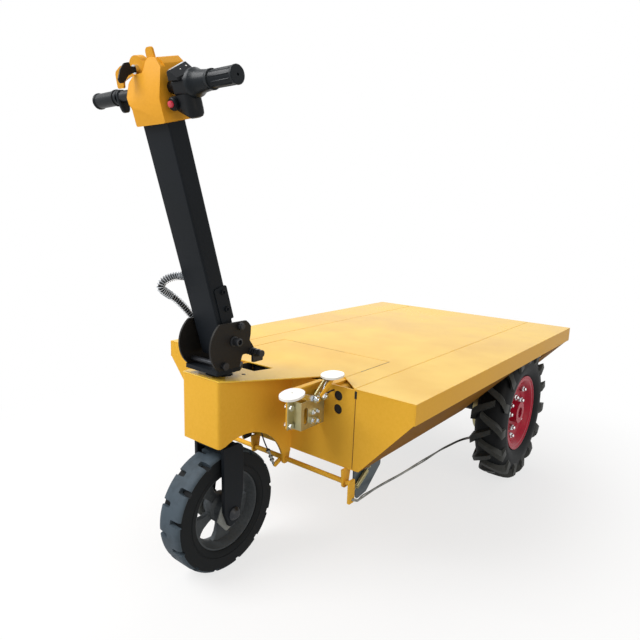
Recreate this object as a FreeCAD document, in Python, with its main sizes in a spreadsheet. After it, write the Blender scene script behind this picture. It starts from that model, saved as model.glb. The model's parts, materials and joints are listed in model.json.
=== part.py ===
"""Electric platform trolley: a flat steel deck on two driven rear wheels, with a single
steered front wheel under a nose box and a folding column that carries the controls.

Frame: the trolley drives toward -Y, its left side is +X and +Z is up.  The ground is z = 0
and the origin is under the middle of the overall length.  Lengths are millimetres and
angles are degrees.  Every sketch is drawn with y = 0 at the front axle, and the cell
front_axle_y then moves the whole trolley along its length.
"""
import FreeCAD, Part
import math
import os
import Sketcher
from FreeCAD import Placement, Rotation, Vector

doc = FreeCAD.newDocument("platform_trolley")
sheet = doc.addObject("Spreadsheet::Sheet", "Sizes")


# ---------------------------------------------------------------- sizes and expressions

class Size:
    """A number together with the spreadsheet expression that gives it."""

    def __init__(self, text, value):
        self.text = text
        self.value = value

    @staticmethod
    def of(thing):
        if isinstance(thing, Size):
            return thing
        return Size(f"({float(thing)})", float(thing))

    def __add__(self, other):
        other = Size.of(other)
        return Size(f"({self.text} + {other.text})", self.value + other.value)

    def __sub__(self, other):
        other = Size.of(other)
        return Size(f"({self.text} - {other.text})", self.value - other.value)

    def __mul__(self, other):
        other = Size.of(other)
        return Size(f"({self.text} * {other.text})", self.value * other.value)

    def __truediv__(self, other):
        other = Size.of(other)
        return Size(f"({self.text} / {other.text})", self.value / other.value)

    def __radd__(self, other):
        return Size.of(other) + self

    def __rsub__(self, other):
        return Size.of(other) - self

    def __rmul__(self, other):
        return Size.of(other) * self

    def __neg__(self):
        return Size(f"(0 - {self.text})", -self.value)


def sine(angle):
    return Size(f"sin({angle.text})", math.sin(math.radians(angle.value)))


def cosine(angle):
    return Size(f"cos({angle.text})", math.cos(math.radians(angle.value)))


def tangent(angle):
    return sine(angle) / cosine(angle)


def root(square):
    return Size(f"sqrt({square.text})", math.sqrt(square.value))


def cell(alias, value, note):
    """Write one driving size to the sheet and return it."""
    row = cell.row = cell.row + 1
    sheet.set(f"A{row}", note)
    sheet.set(f"B{row}", str(value))
    sheet.setAlias(f"B{row}", alias)
    return Size(f"Sizes.{alias}", float(value))


cell.row = 0

# general
steel = cell("steel", 3, "thickness of the deck, skirt and tray sheet")
seam = cell("seam", 1.5, "gap between the lift-out nose plate and the deck round it")
fit = cell("fit", 0.3, "clearance of a shaft in its bore, on the radius")
front_axle_y = cell("front_axle_y", 0, "y of the front axle in the part's own frame")

# deck
deck_width = cell("deck_width", 800, "overall width of the deck")
deck_length = cell("deck_length", 1145, "length of the deck")
deck_top = cell("deck_top", 441, "height of the deck surface")
deck_front = cell("deck_front", 166, "front axle to front edge of the deck")
deck_flange = cell("deck_flange", 46, "depth of the turned-down deck edge")
seam_half = cell("seam_half", 250, "centre line to each lengthways weld seam")
groove_width = cell("groove_width", 2.4, "width of a dressed weld seam")
groove_depth = cell("groove_depth", 0.8, "depth of a dressed weld seam")

# nose plate, lying in the deck's front opening and running out over the nose box
hatch_half = cell("hatch_half", 183, "half width of the nose plate within the deck")
hatch_length = cell("hatch_length", 251, "deck front edge to rear edge of the nose plate")
notch_half = cell("notch_half", 160, "half width of the nose plate where it leaves the deck")
notch_depth = cell("notch_depth", 55, "deck front edge back to the end of the corner cut")
nose_rise = cell("nose_rise", 22, "height of the nose plate's front end above the deck")
fold_back = cell("fold_back", 39, "deck front edge back to the fold of the nose plate")
slot_left = cell("slot_left", 22, "left edge of the cable slot")
slot_width = cell("slot_width", 115, "width of the cable slot")
slot_front = cell("slot_front", 86, "front axle to front edge of the cable slot")
slot_length = cell("slot_length", 64, "length of the cable slot")

# nose box
nose_front = cell("nose_front", 53, "front axle to front face of the nose box")
nose_width = cell("nose_width", 120, "width of the nose box at its front face")
nose_flare = cell("nose_flare", 9, "how much wider each side of the nose box is at the bulkhead")
nose_wall = cell("nose_wall", 5, "thickness of the nose box walls")
nose_bend = cell("nose_bend", 8, "outside radius of the nose box corners")
nose_bottom = cell("nose_bottom", 313, "lower edge of the nose box's front face")
nose_tail = cell("nose_tail", 244, "lower edge of the nose box at the bulkhead")
arch_radius = cell("arch_radius", 123.5, "radius of the wheel arch")
arch_centre = cell("arch_centre", 20, "front axle back to the arch centre")
arch_height = cell("arch_height", 205, "height of the arch centre")

# bulkhead, skirts and tray
bulkhead = cell("bulkhead", 4, "thickness of the front bulkhead")
tray_half = cell("tray_half", 268, "half width of the tray floor")
tray_floor = cell("tray_floor", 252, "height of the underside of the tray floor")
tray_length = cell("tray_length", 545, "deck front edge to rear face of the tray")
cable_hole_radius = cell("cable_hole_radius", 11.5, "radius of the cable holes")
cable_hole_x = cell("cable_hole_x", 206, "centre line to the cable holes")
cable_hole_high = cell("cable_hole_high", 415, "height of the upper cable hole")
cable_hole_step = cell("cable_hole_step", 31, "upper to lower cable hole")
wheel_arch = cell("wheel_arch", 222, "radius of the skirt's cut-out round the rear axle")
rail_x = cell("rail_x", 170, "centre line to the middle of a frame rail")
rail_width = cell("rail_width", 40, "width of a frame rail")
rail_height = cell("rail_height", 50, "height of a frame rail")
rail_wall = cell("rail_wall", 3, "wall of a frame rail")
cross_tube = cell("cross_tube", 40, "width and height of a cross tube")
cross_back = cell("cross_back", 60, "rear edge of the deck to the middle of the rear cross tube")

# wheels
wheelbase = cell("wheelbase", 933, "front axle to rear axle")
front_radius = cell("front_radius", 142, "radius of the front tyre")
front_width = cell("front_width", 68, "width of the front tyre")
front_rim_radius = cell("front_rim_radius", 92, "outer radius of the front wheel casting")
front_rim_inner = cell("front_rim_inner", 84, "inner radius of the front wheel casting's rim")
front_hub_radius = cell("front_hub_radius", 24, "radius of the front hub")
front_pin = cell("front_pin", 8, "radius of the front axle bolt")
rear_radius = cell("rear_radius", 212, "radius of the rear tyres")
rear_width = cell("rear_width", 100, "width of the rear tyres")
rear_track = cell("rear_track", 672, "distance between the rear wheels' middles")
rear_bead = cell("rear_bead", 106, "radius where the rear tyre sits on its rim")
rear_flange = cell("rear_flange", 119, "radius of the rear rim's flange")
rear_rim_width = cell("rear_rim_width", 74, "width of the rear rim over its flanges")
rear_stub = cell("rear_stub", 17, "radius of the rear axle shaft in the hub")

# fork and steering
fork_inside = cell("fork_inside", 40, "centre line to inner face of a fork leg")
fork_leg = cell("fork_leg", 10, "thickness of a fork leg")
fork_front = cell("fork_front", 30, "front axle to front edge of the fork leg")
fork_back = cell("fork_back", 28, "front axle to rear edge of the fork leg")
fork_top = cell("fork_top", 305, "top of the fork crown")
crown = cell("crown", 14, "thickness of the fork crown")
stem_radius = cell("stem_radius", 15, "radius of the steering stem")
head_radius = cell("head_radius", 29, "outer radius of the steering head tube")
head_low = cell("head_low", 332, "height of the lower end of the steering head tube")

# hinge of the column
base_low = cell("base_low", 473, "underside of the hinge base")
base = cell("base", 9, "thickness of the hinge base")
cheek = cell("cheek", 5, "thickness of a hinge cheek")
cheek_radius = cell("cheek_radius", 63, "radius of a hinge cheek")
cheek_height = cell("cheek_height", 530, "height of a hinge cheek's centre")
cheek_top = cell("cheek_top", 581, "height of the flat on top of a hinge cheek")
pivot_y = cell("pivot_y", -5, "front axle to column pivot, rearward")
pivot_height = cell("pivot_height", 541, "height of the column pivot")
pivot_radius = cell("pivot_radius", 8, "radius of the column pivot bolt")
lean = cell("lean", 16.5, "forward lean of the column")
strap = cell("strap", 2.5, "thickness of the straps on the column's sides")
hinge_play = cell("hinge_play", 5, "clearance between a strap and the hinge cheek beside it")
spacer_y = cell("spacer_y", -33, "front axle to the spacer bolt between the cheeks, rearward")
spacer_height = cell("spacer_height", 492, "height of the spacer bolt between the cheeks")
lock_y = cell("lock_y", 13, "front axle to the lock bolts at the top of the cheeks, rearward")
lock_height = cell("lock_height", 571, "height of the lock bolts")
cheek_bolt = cell("cheek_bolt", 6, "radius of the spacer bolt and the lock bolts")
latch_y = cell("latch_y", 45, "front axle to the latch bolt in the cheek's lobe, rearward")
latch_height = cell("latch_height", 511, "height of the latch bolt")
latch_radius = cell("latch_radius", 4.5, "radius of the latch bolt")

# column, measured from the pivot along its own length
column_width = cell("column_width", 80, "width of the column tube")
column_depth = cell("column_depth", 40, "depth of the column tube")
column_wall = cell("column_wall", 3, "wall of the column tube")
column_corner = cell("column_corner", 5, "outside corner radius of the column tube")
column_tail = cell("column_tail", 34, "column tube below the pivot")
strap_low = cell("strap_low", 44, "pivot to the lower end of a strap")
strap_high = cell("strap_high", 119, "pivot to the upper end of a strap")
strap_bolt_low = cell("strap_bolt_low", 69, "pivot to the lower bolt of a strap")
strap_bolt_high = cell("strap_bolt_high", 107, "pivot to the upper bolt of a strap")
loom_radius = cell("loom_radius", 8, "radius of the wiring loom")
loom_height = cell("loom_height", 139, "pivot to the hole where the cables leave the column")
loom_front = cell("loom_front", 6, "column middle forward to that hole")
gland_x = cell("gland_x", -72, "centre line to the gland on the hinge base")
gland_radius = cell("gland_radius", 13, "radius of the gland on the hinge base")
gland_height = cell("gland_height", 12, "height of the gland above the hinge base")
head_base = cell("head_base", 443, "pivot to lower edge of the control head")
head_height = cell("head_height", 102, "height of the control head")
key_x = cell("key_x", -37, "centre line to the lock")
key_height = cell("key_height", 539, "pivot to the lock")
key_disc = cell("key_disc", 23, "radius of the disc that carries the lock")
tab_x = cell("tab_x", 8, "centre line to the tab on top of the head")
tab_wide = cell("tab_wide", 22, "width of the tab on top of the head")
tab_height = cell("tab_height", 24, "height of the tab above the head")
horn_x = cell("horn_x", 60, "centre line to the horn button")
horn_height = cell("horn_height", 472, "pivot to the horn button")
bar_height = cell("bar_height", 499, "pivot to the handlebar")
bar_half = cell("bar_half", 212, "centre line to the outer end of the left grip")
bar_radius = cell("bar_radius", 11, "radius of the handlebar")
grip_radius = cell("grip_radius", 14, "radius of a grip")
bar_back = cell("bar_back", 3, "column middle back to the handlebar")
collar_x = cell("collar_x", 148, "centre line to the inner end of the left rubber grip")
flange_x = cell("flange_x", 104, "centre line to the flange of the left grip")
clamp_x = cell("clamp_x", 67, "centre line to the inner face of the drive control's clamp")
right_end = cell("right_end", 197, "centre line to the outer end of the right grip")
right_inner = cell("right_inner", 118, "centre line to the inner end of the right rubber grip")
head_half = cell("head_half", 43.5, "half width of the control head")
head_front = cell("head_front", 30, "column middle to the lower front of the control head")
head_back = cell("head_back", 42, "column middle to the rear of the control head")

# brake gear
shaft_height = cell("shaft_height", 219, "height of the brake cross shaft")
shaft_radius = cell("shaft_radius", 6, "radius of the brake cross shaft")
lever_x = cell("lever_x", 252, "centre line to the levers at the ends of the brake shaft")
lever_wide = cell("lever_wide", 22, "width of an end lever")
lever_drop = cell("lever_drop", 46, "brake shaft to the lower end of an end lever")
inner_lever_x = cell("inner_lever_x", 42, "centre line to the lever that the brake cable pulls")
rod_radius = cell("rod_radius", 4, "radius of a brake rod")
cable_radius = cell("cable_radius", 3, "radius of a brake cable")
hanger = cell("hanger", 5, "thickness of a shaft hanger")
anchor_x = cell("anchor_x", 233, "centre line to the plate that anchors the return spring")

# pedals, all on the trolley's left
lug_x = cell("lug_x", 156.5, "centre line to the outer face of the pedal lug")
lug_low = cell("lug_low", 353, "height of the lower edge of the pedal lug")
lug_high = cell("lug_high", 443, "height of the upper edge of the pedal lug")
lug = cell("lug", 4, "thickness of the pedal lug")
lug_front = cell("lug_front", 52, "front axle back to the front edge of the pedal lug")
bracket_x = cell("bracket_x", 183, "centre line to the outer face of the pedal bracket")
bracket_sheet = cell("bracket_sheet", 2.5, "thickness of the pedal bracket")
bracket_low = cell("bracket_low", 354, "height of the lower edge of the pedal bracket")
bracket_high = cell("bracket_high", 416, "height of the upper edge of the pedal bracket")
pedal_pin = cell("pedal_pin", 4, "radius of the pedal pivots and bracket bolts")
arm = cell("arm", 4, "thickness of a pedal arm")
pad_width = cell("pad_width", 50, "width of a pedal pad")
pad_length = cell("pad_length", 54, "length of a pedal pad")
pad_thick = cell("pad_thick", 5, "thickness of a pedal pad")
spring_tilt = cell("spring_tilt", 122.6, "turn of the return spring from upright")


# ---------------------------------------------------------------- building blocks

def bind(thing, prop, value):
    thing.setExpression(prop, Size.of(value).text)


def origin_feature(body, role):
    return next(f for f in body.Origin.OriginFeatures if f.Role == role)


def new_body(label, x=0, y=0, z=0, tilt=None):
    """An empty body standing at (x, y, z) from the ground under the front axle."""
    body = doc.addObject("PartDesign::Body", label)
    body.Label = label
    if tilt is not None:
        body.Placement = Placement(Vector(), Rotation(Vector(1, 0, 0), tilt.value))
        bind(body, "Placement.Rotation.Angle", tilt)
    bind(body, "Placement.Base.x", x)
    bind(body, "Placement.Base.y", front_axle_y + y)
    bind(body, "Placement.Base.z", z)
    return body


def column_body(label):
    """A body drawn in the column's own frame: z along the column and y to its rear."""
    return new_body(label, 0, pivot_y, pivot_height, tilt=lean)


class Outline:
    """Draws closed outlines and circles in one sketch, every corner held by the sheet."""

    def __init__(self, body, plane, lift):
        self.sketch = body.newObject("Sketcher::SketchObject", "Sketch")
        self.sketch.AttachmentSupport = (origin_feature(body, plane), [""])
        self.sketch.MapMode = "FlatFace"
        bind(self.sketch, "AttachmentOffset.Base.z", lift)

    def hold(self, kind, value, *where):
        """Add a dimension whose value follows the sheet."""
        size = Size.of(value)
        index = self.sketch.addConstraint(Sketcher.Constraint(kind, *where, size.value))
        self.sketch.setExpression(f"Constraints[{index}]", size.text)

    def pin(self, geometry, end, x, y):
        self.hold("DistanceX", x, -1, 1, geometry, end)
        self.hold("DistanceY", y, -1, 1, geometry, end)

    def circle(self, x, y, radius):
        x, y, radius = Size.of(x), Size.of(y), Size.of(radius)
        round_edge = Part.Circle(Vector(x.value, y.value, 0), Vector(0, 0, 1), radius.value)
        index = self.sketch.addGeometry(round_edge, False)
        self.pin(index, 3, x, y)
        self.hold("Radius", radius, index)

    def polygon(self, corners):
        """Corners are (x, y) or (x, y, radius); a radius rounds the corner."""
        points = [(Size.of(c[0]), Size.of(c[1])) for c in corners]
        radii = [Size.of(c[2]) if len(c) > 2 else None for c in corners]
        places = [Vector(x.value, y.value, 0) for x, y in points]
        count = len(points)
        entry, leave, centre = [], [], []
        for i, here in enumerate(places):
            if radii[i] is None:
                entry.append(here)
                leave.append(here)
                centre.append(None)
                continue
            back = (places[i - 1] - here).normalize()
            ahead = (places[(i + 1) % count] - here).normalize()
            half_angle = back.getAngle(ahead) / 2
            entry.append(here + back * (radii[i].value / math.tan(half_angle)))
            leave.append(here + ahead * (radii[i].value / math.tan(half_angle)))
            inward = (back + ahead).normalize()
            centre.append(here + inward * (radii[i].value / math.sin(half_angle)))
        lines = []
        for i in range(count):
            edge = Part.LineSegment(leave[i], entry[(i + 1) % count])
            lines.append(self.sketch.addGeometry(edge, False))
        for i, (x, y) in enumerate(points):
            before = lines[i - 1]
            after = lines[i]
            if radii[i] is None:
                self.sketch.addConstraint(Sketcher.Constraint("Coincident", before, 2, after, 1))
                self.pin(after, 1, x, y)
                continue
            arc, first_end = self.arc(centre[i], entry[i], leave[i], radii[i].value)
            self.sketch.addConstraint(Sketcher.Constraint("Tangent", before, 2, arc, first_end))
            self.sketch.addConstraint(Sketcher.Constraint("Tangent", arc, 3 - first_end, after, 1))
            self.hold("Radius", radii[i], arc)
            tip = self.sketch.addGeometry(Part.Point(places[i]), True)
            self.sketch.addConstraint(Sketcher.Constraint("PointOnObject", tip, 1, before))
            self.sketch.addConstraint(Sketcher.Constraint("PointOnObject", tip, 1, after))
            self.pin(tip, 1, x, y)

    def arc(self, centre, start, finish, radius):
        """Add the short arc from start to finish; returns its number and which end is start."""
        from_angle = math.atan2(start.y - centre.y, start.x - centre.x)
        to_angle = math.atan2(finish.y - centre.y, finish.x - centre.x)
        forward = (to_angle - from_angle) % (2 * math.pi) < math.pi
        if not forward:
            from_angle, to_angle = to_angle, from_angle
        if to_angle < from_angle:
            to_angle += 2 * math.pi
        circle = Part.Circle(centre, Vector(0, 0, 1), radius)
        index = self.sketch.addGeometry(Part.ArcOfCircle(circle, from_angle, to_angle), False)
        return index, 1 if forward else 2

    def draw(self, shapes):
        for shape in shapes:
            if shape[0] == "circle":
                self.circle(*shape[1:])
            else:
                self.polygon(shape)
        return self.sketch


def extrude(kind, body, plane, shapes, low, high):
    """Pad or pocket outlines between two positions on the axis square to the plane.

    The XZ plane faces -Y, so there the sketch stands at the far end of the span.
    """
    low, high = Size.of(low), Size.of(high)
    adds = kind == "PartDesign::Pad"
    if plane == "XZ_Plane":
        lift = -high if adds else -low
    else:
        lift = low if adds else high
    drawing = Outline(body, plane, lift).draw(shapes)
    feature = body.newObject(kind, "Pad" if adds else "Pocket")
    feature.Profile = drawing
    bind(feature, "Length", high - low)
    drawing.Visibility = False
    return feature


def pad(body, plane, shapes, low, high):
    return extrude("PartDesign::Pad", body, plane, shapes, low, high)


def pocket(body, plane, shapes, low, high):
    return extrude("PartDesign::Pocket", body, plane, shapes, low, high)


def turn(body, kind, plane, shapes, axis):
    """Revolve outlines a full turn about one of the body's own axes."""
    drawing = Outline(body, plane, 0).draw(shapes)
    feature = body.newObject(kind, "Turned")
    feature.Profile = drawing
    feature.ReferenceAxis = (origin_feature(body, axis), [""])
    feature.Angle = 360
    return feature


def around(body, features, axis, count):
    """Repeat features evenly about an axis of the body."""
    pattern = body.newObject("PartDesign::PolarPattern", "Pattern")
    pattern.Originals = features
    pattern.Axis = (origin_feature(body, axis), [""])
    pattern.Angle = 360
    pattern.Occurrences = count
    body.Tip = pattern
    return pattern


def mirror(body, features, plane):
    copy = body.newObject("PartDesign::Mirrored", "Mirrored")
    copy.Originals = features
    copy.MirrorPlane = (origin_feature(body, plane), [""])
    body.Tip = copy
    return copy


def hexagon(x, y, across):
    """Corners of a nut or bolt head of the given width across its flats."""
    flat, corner = Size.of(across) / 2, Size.of(across) / root(Size.of(3))
    return [(x + corner, y), (x + corner / 2, y + flat), (x - corner / 2, y + flat),
            (x - corner, y), (x - corner / 2, y - flat), (x + corner / 2, y - flat)]


def box(x0, x1, y0, y1):
    """Corners of a rectangle."""
    return [(x0, y0), (x1, y0), (x1, y1), (x0, y1)]


# ---------------------------------------------------------------- deck and nose plate

deck_half = deck_width / 2
deck_rear = deck_front + deck_length
deck_under = deck_top - steel
hatch_rear = deck_front + hatch_length
fold_y = deck_front + fold_back
plate = steel
notch_slope = notch_depth / (seam_half - hatch_half)
flange_bolts = ((60, 403), (60, 362))
pivots = ((107, 418), (136, 418))
stop_bolts = ((101, 371), (119, 366))
loom_route = (
    (-36, -50, 673), (-55, -51, 673), (-67, -66, 672), (-74, -83, 665), (-79, -91, 650),
    (-82, -86, 633), (-85, -70, 616), (-88, -47, 597), (-88, -22, 577), (-84, -3, 560),
    (-78, 14, 541), (-74, 26, 521), (-72, 30, 508), (-72, 30, 494))
cable_route = (
    (42, 135.2, 211.4), (42, 124.6, 238), (41, 107, 270), (40, 94, 303), (39, 92, 336), (40, 105, 370),
    (42, 133, 391), (43, 166, 396))
pedal_cable_route = (
    (194, 141, 424), (198, 149, 428), (203, 158, 426), (206, 168, 417), (206, 180, 408),
    (204, 194, 402), (199, 206, 400), (191, 211, 400))
rod_route = (
    (253, 169, 181), (263, 173, 180), (262, 184, 177), (257, 215, 175), (254, 272, 170),
    (256, 380, 165), (252, 480, 156), (251, 585, 153), (249, 660, 147), (253, 743, 143),
    (262, 833, 130), (262, 888, 125), (262, 923, 122))


def deck_plate():
    body = new_body("deck_plate")
    opening = hatch_half + seam
    pad(body, "XY_Plane", [[
        (-deck_half, deck_front), (-seam_half, deck_front), (-opening, deck_front + notch_depth),
        (-opening, hatch_rear + seam), (opening, hatch_rear + seam),
        (opening, deck_front + notch_depth), (seam_half, deck_front), (deck_half, deck_front),
        (deck_half, deck_rear), (-deck_half, deck_rear)]], deck_under, deck_top)
    edge = [(deck_half - steel, deck_top - deck_flange), (deck_half, deck_top - deck_flange),
            (deck_half, deck_under), (deck_half - steel, deck_under)]
    side = pad(body, "XZ_Plane", [edge], deck_front, deck_rear)
    mirror(body, [side], "YZ_Plane")
    pad(body, "XY_Plane", [box(-deck_half, deck_half, deck_rear - steel, deck_rear)],
        deck_top - deck_flange, deck_under)
    groove = box(seam_half - groove_width / 2, seam_half + groove_width / 2, deck_top - groove_depth,
                 deck_top + groove_depth)
    cut = pocket(body, "XZ_Plane", [groove], deck_front - 1, deck_rear + 1)
    mirror(body, [cut], "YZ_Plane")
    return body


def nose_plate():
    body = new_body("nose_plate")
    rise = deck_top + nose_rise
    pad(body, "YZ_Plane", [[
        (-nose_front, rise - plate), (fold_y, deck_top - plate), (hatch_rear, deck_top - plate),
        (hatch_rear, deck_top), (fold_y, deck_top), (-nose_front, rise)]],
        -hatch_half, hatch_half)
    lead = (hatch_half - notch_half) * notch_slope
    margin = Size.of(8)
    side = pocket(body, "XY_Plane", [[
        (nose_width / 2, -nose_front), (nose_width / 2, -nose_front - margin),
        (hatch_half + margin, -nose_front - margin),
        (hatch_half + margin, deck_front + notch_depth - margin * notch_slope),
        (hatch_half, deck_front + notch_depth), (notch_half, deck_front + notch_depth + lead)]],
        deck_top - 2 * plate, rise + plate)
    mirror(body, [side], "YZ_Plane")
    pocket(body, "XY_Plane", [
        box(slot_left - slot_width, slot_left, slot_front, slot_front + slot_length),
        ("circle", 0, 0, head_radius + 1)], deck_top - 2 * plate, rise + plate)
    return body


# ---------------------------------------------------------------- nose box and steering head

nose_half_rear = nose_width / 2 + nose_flare
nose_length = nose_front + deck_front
slope = nose_rise / (nose_front + fold_y)


def nose_inside(y):
    """Half width between the nose box walls at a distance y behind the front axle."""
    along = (y + nose_front - nose_wall) / (nose_length - nose_wall)
    return nose_width / 2 - nose_wall + nose_flare * along


def plate_underside(y):
    """Height of the sloping nose plate's underside."""
    return deck_top + nose_rise - slope * (y + nose_front) - plate


def nose_box():
    body = new_body("nose_box")
    outer = nose_width / 2
    inner = outer - nose_wall
    pad(body, "XY_Plane", [[
        (-nose_half_rear, deck_front), (-outer, -nose_front, nose_bend), (outer, -nose_front, nose_bend),
        (nose_half_rear, deck_front), (nose_half_rear - nose_wall, deck_front),
        (inner, nose_wall - nose_front, nose_bend - nose_wall),
        (-inner, nose_wall - nose_front, nose_bend - nose_wall),
        (nose_wall - nose_half_rear, deck_front)]], nose_tail, deck_top + nose_rise)
    reach = nose_half_rear + 5
    pocket(body, "YZ_Plane", [[
        (-nose_front - 5, plate_underside(-nose_front - 5)),
        (deck_front + 5, plate_underside(deck_front + 5)),
        (deck_front + 5, deck_top + nose_rise + 10), (-nose_front - 5, deck_top + nose_rise + 10)]],
        -reach, reach)
    pocket(body, "YZ_Plane", [("circle", arch_centre, arch_height, arch_radius)], -reach, reach)
    pocket(body, "YZ_Plane", [[
        (-nose_front - 5, nose_bottom), (5 - nose_front, nose_bottom),
        (arch_centre, arch_height + arch_radius - 1), (arch_centre, nose_tail - 5),
        (-nose_front - 5, nose_tail - 5)]], -reach, reach)
    return body


def steering_head():
    """The bearing tube of the steering stem and the two plates that hold it in the nose box."""
    body = new_body("steering_head")
    top = plate_underside(-head_radius)
    pad(body, "XY_Plane", [("circle", 0, 0, head_radius)], head_low, top)
    for low in (head_low + 6, top - 40):
        front, rear = -head_radius, head_radius
        pad(body, "XY_Plane", [[
            (-nose_inside(front), front), (nose_inside(front), front),
            (nose_inside(rear), rear), (-nose_inside(rear), rear)]], low, low + 8)
    pocket(body, "XY_Plane", [("circle", 0, 0, stem_radius + fit)], head_low - 5, top + 5)
    return body


# ---------------------------------------------------------------- bulkhead, skirts, tray, rails

tray_rear = deck_front + tray_length
edge_x = deck_half - steel
edge_z = deck_top - deck_flange
skirt_run = edge_x - tray_half
skirt_drop = edge_z - tray_floor
skirt_rise = steel * root(skirt_run * skirt_run + skirt_drop * skirt_drop) / skirt_run
rail_low = deck_under - rail_height
rail_outside = rail_x + rail_width / 2


def front_bulkhead():
    """The bulkhead between nose and hull, with the lug that carries the pedals."""
    body = new_body("front_bulkhead")
    pad(body, "XZ_Plane", [
        [(-seam_half, tray_floor), (seam_half, tray_floor), (seam_half, deck_under),
         (-seam_half, deck_under)],
        ("circle", cable_hole_x, cable_hole_high, cable_hole_radius),
        ("circle", cable_hole_x, cable_hole_high - cable_hole_step, cable_hole_radius)],
        deck_front, deck_front + bulkhead)
    pad(body, "YZ_Plane", [[
        (lug_front, lug_low, 4), (deck_front, lug_low), (deck_front, lug_high), (lug_front, lug_high, 4)]],
        lug_x - lug, lug_x)
    pad(body, "YZ_Plane", [box(lug_front + 6, deck_front, lug_high - lug, lug_high)], lug_x, lug_x + 9)
    pocket(body, "YZ_Plane", [("circle", y, z, pedal_pin) for y, z in flange_bolts],
           lug_x - lug, lug_x)
    corner = pad(body, "XY_Plane", [[
        (seam_half, deck_front), (seam_half, deck_front + bulkhead), (rail_outside, deck_front + notch_depth),
        (rail_outside, deck_front)]], deck_under - 10, deck_under - 7)
    mirror(body, [corner], "YZ_Plane")
    return body


def side_skirts():
    """The slanting sides of the hull with their front gussets, cut away round the rear wheels."""
    body = new_body("side_skirts")
    strip = [(edge_x, edge_z), (tray_half, tray_floor),
             (tray_half, tray_floor + skirt_rise), (edge_x, edge_z + skirt_rise)]
    side = pad(body, "XZ_Plane", [strip], deck_front, deck_rear - steel)
    arch = pocket(body, "YZ_Plane", [("circle", wheelbase, rear_radius, wheel_arch)],
                  tray_half - 1, deck_half)
    gusset = pad(body, "XZ_Plane", [[
        (seam_half, tray_floor), (tray_half, tray_floor, 14), (edge_x, edge_z),
        (edge_x, deck_under), (seam_half, deck_under)]],
        deck_front, deck_front + bulkhead)
    mirror(body, [side, arch, gusset], "YZ_Plane")
    return body


def battery_tray():
    body = new_body("battery_tray")
    start = deck_front + bulkhead
    pad(body, "XY_Plane", [box(-tray_half, tray_half, start, tray_rear)], tray_floor, tray_floor + steel)
    foot = tray_floor + skirt_rise
    top_half = tray_half + (rail_low - foot) * skirt_run / skirt_drop
    pad(body, "XZ_Plane", [[
        (-tray_half, tray_floor), (tray_half, tray_floor), (tray_half, foot), (top_half, rail_low),
        (-top_half, rail_low), (-tray_half, foot)]], tray_rear - steel, tray_rear)
    return body


def chassis_frame():
    """Two box rails under the deck, joined by tubes before and behind the rear wheels."""
    body = new_body("chassis_frame")
    outside = box(rail_x - rail_width / 2, rail_x + rail_width / 2, rail_low, deck_under)
    inside = box(rail_x - rail_width / 2 + rail_wall, rail_x + rail_width / 2 - rail_wall,
                 rail_low + rail_wall, deck_under - rail_wall)
    rail = pad(body, "XZ_Plane", [outside, inside], deck_front + bulkhead, deck_rear - steel)
    mirror(body, [rail], "YZ_Plane")
    inner = rail_x - rail_width / 2
    for middle in (tray_rear + cross_tube, deck_rear - cross_back):
        half = cross_tube / 2
        pad(body, "YZ_Plane", [box(middle - half, middle + half, deck_under - cross_tube, deck_under)],
            -inner, inner)
    return body


# ---------------------------------------------------------------- rear axle and its drive

axle_y = wheelbase
wheel_inner = rear_track / 2 - rear_width / 2
tube_radius = cell("tube_radius", 28, "radius of the rear axle tube")
tube_end = cell("tube_end", 246, "half length of the rear axle tube")
gear_radius = cell("gear_radius", 78, "radius of the differential housing")
gear_width = cell("gear_width", 130, "width of the differential housing")
hanger_gap = cell("hanger_gap", 0.3, "clearance between the axle tube and its hangers")
motor_radius = cell("motor_radius", 55, "radius of the drive motor")
motor_length = cell("motor_length", 105, "length of the drive motor")
motor_boss = cell("motor_boss", 8, "reach of the motor seat in front of the differential")
drum_radius = cell("drum_radius", 86, "radius of the brake back plates")
drum_width = cell("drum_width", 16, "width of the brake back plates")
arm_drop = cell("arm_drop", 96, "rear axle to the lower end of a brake arm")
battery_width = cell("battery_width", 330, "width of the battery")
battery_length = cell("battery_length", 340, "length of the battery")
battery_height = cell("battery_height", 125, "height of the battery")
battery_back = cell("battery_back", 90, "deck front edge to the battery")


def rear_axle():
    body = new_body("rear_axle", 0, axle_y, rear_radius)
    stub_end = rear_track / 2 + 20
    turn(body, "PartDesign::Revolution", "XY_Plane", [[
        (-stub_end, 0), (-stub_end, rear_stub), (-tube_end, rear_stub), (-tube_end, tube_radius),
        (-gear_width / 2 - 40, tube_radius), (-gear_width / 2, gear_radius, 20),
        (gear_width / 2, gear_radius, 20), (gear_width / 2 + 40, tube_radius),
        (tube_end, tube_radius), (tube_end, rear_stub), (stub_end, rear_stub), (stub_end, 0)]], "X_Axis")
    pad(body, "XZ_Plane", [("circle", 0, 0, motor_radius - 6)], -gear_radius - motor_boss, 0)
    return body


def drive_motor():
    body = new_body("drive_motor", 0, axle_y, rear_radius)
    start = gear_radius + motor_boss
    pad(body, "XZ_Plane", [("circle", 0, 0, motor_radius)], -start - motor_length, -start)
    return body


def axle_hangers():
    """Plates under the rails that clasp the axle tube."""
    body = new_body("axle_hangers", 0, axle_y, rear_radius)
    top = rail_low - rear_radius
    sides = []
    for side in (-1, 1):
        low_x = side * rail_x - 6
        sides.append(pad(body, "YZ_Plane", [[
            (-70, top), (-38, -38, 12), (38, -38, 12), (70, top)]], low_x, low_x + 12))
    pocket(body, "YZ_Plane", [("circle", 0, 0, tube_radius)], -rail_x - 20, rail_x + 20)
    return body


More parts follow.
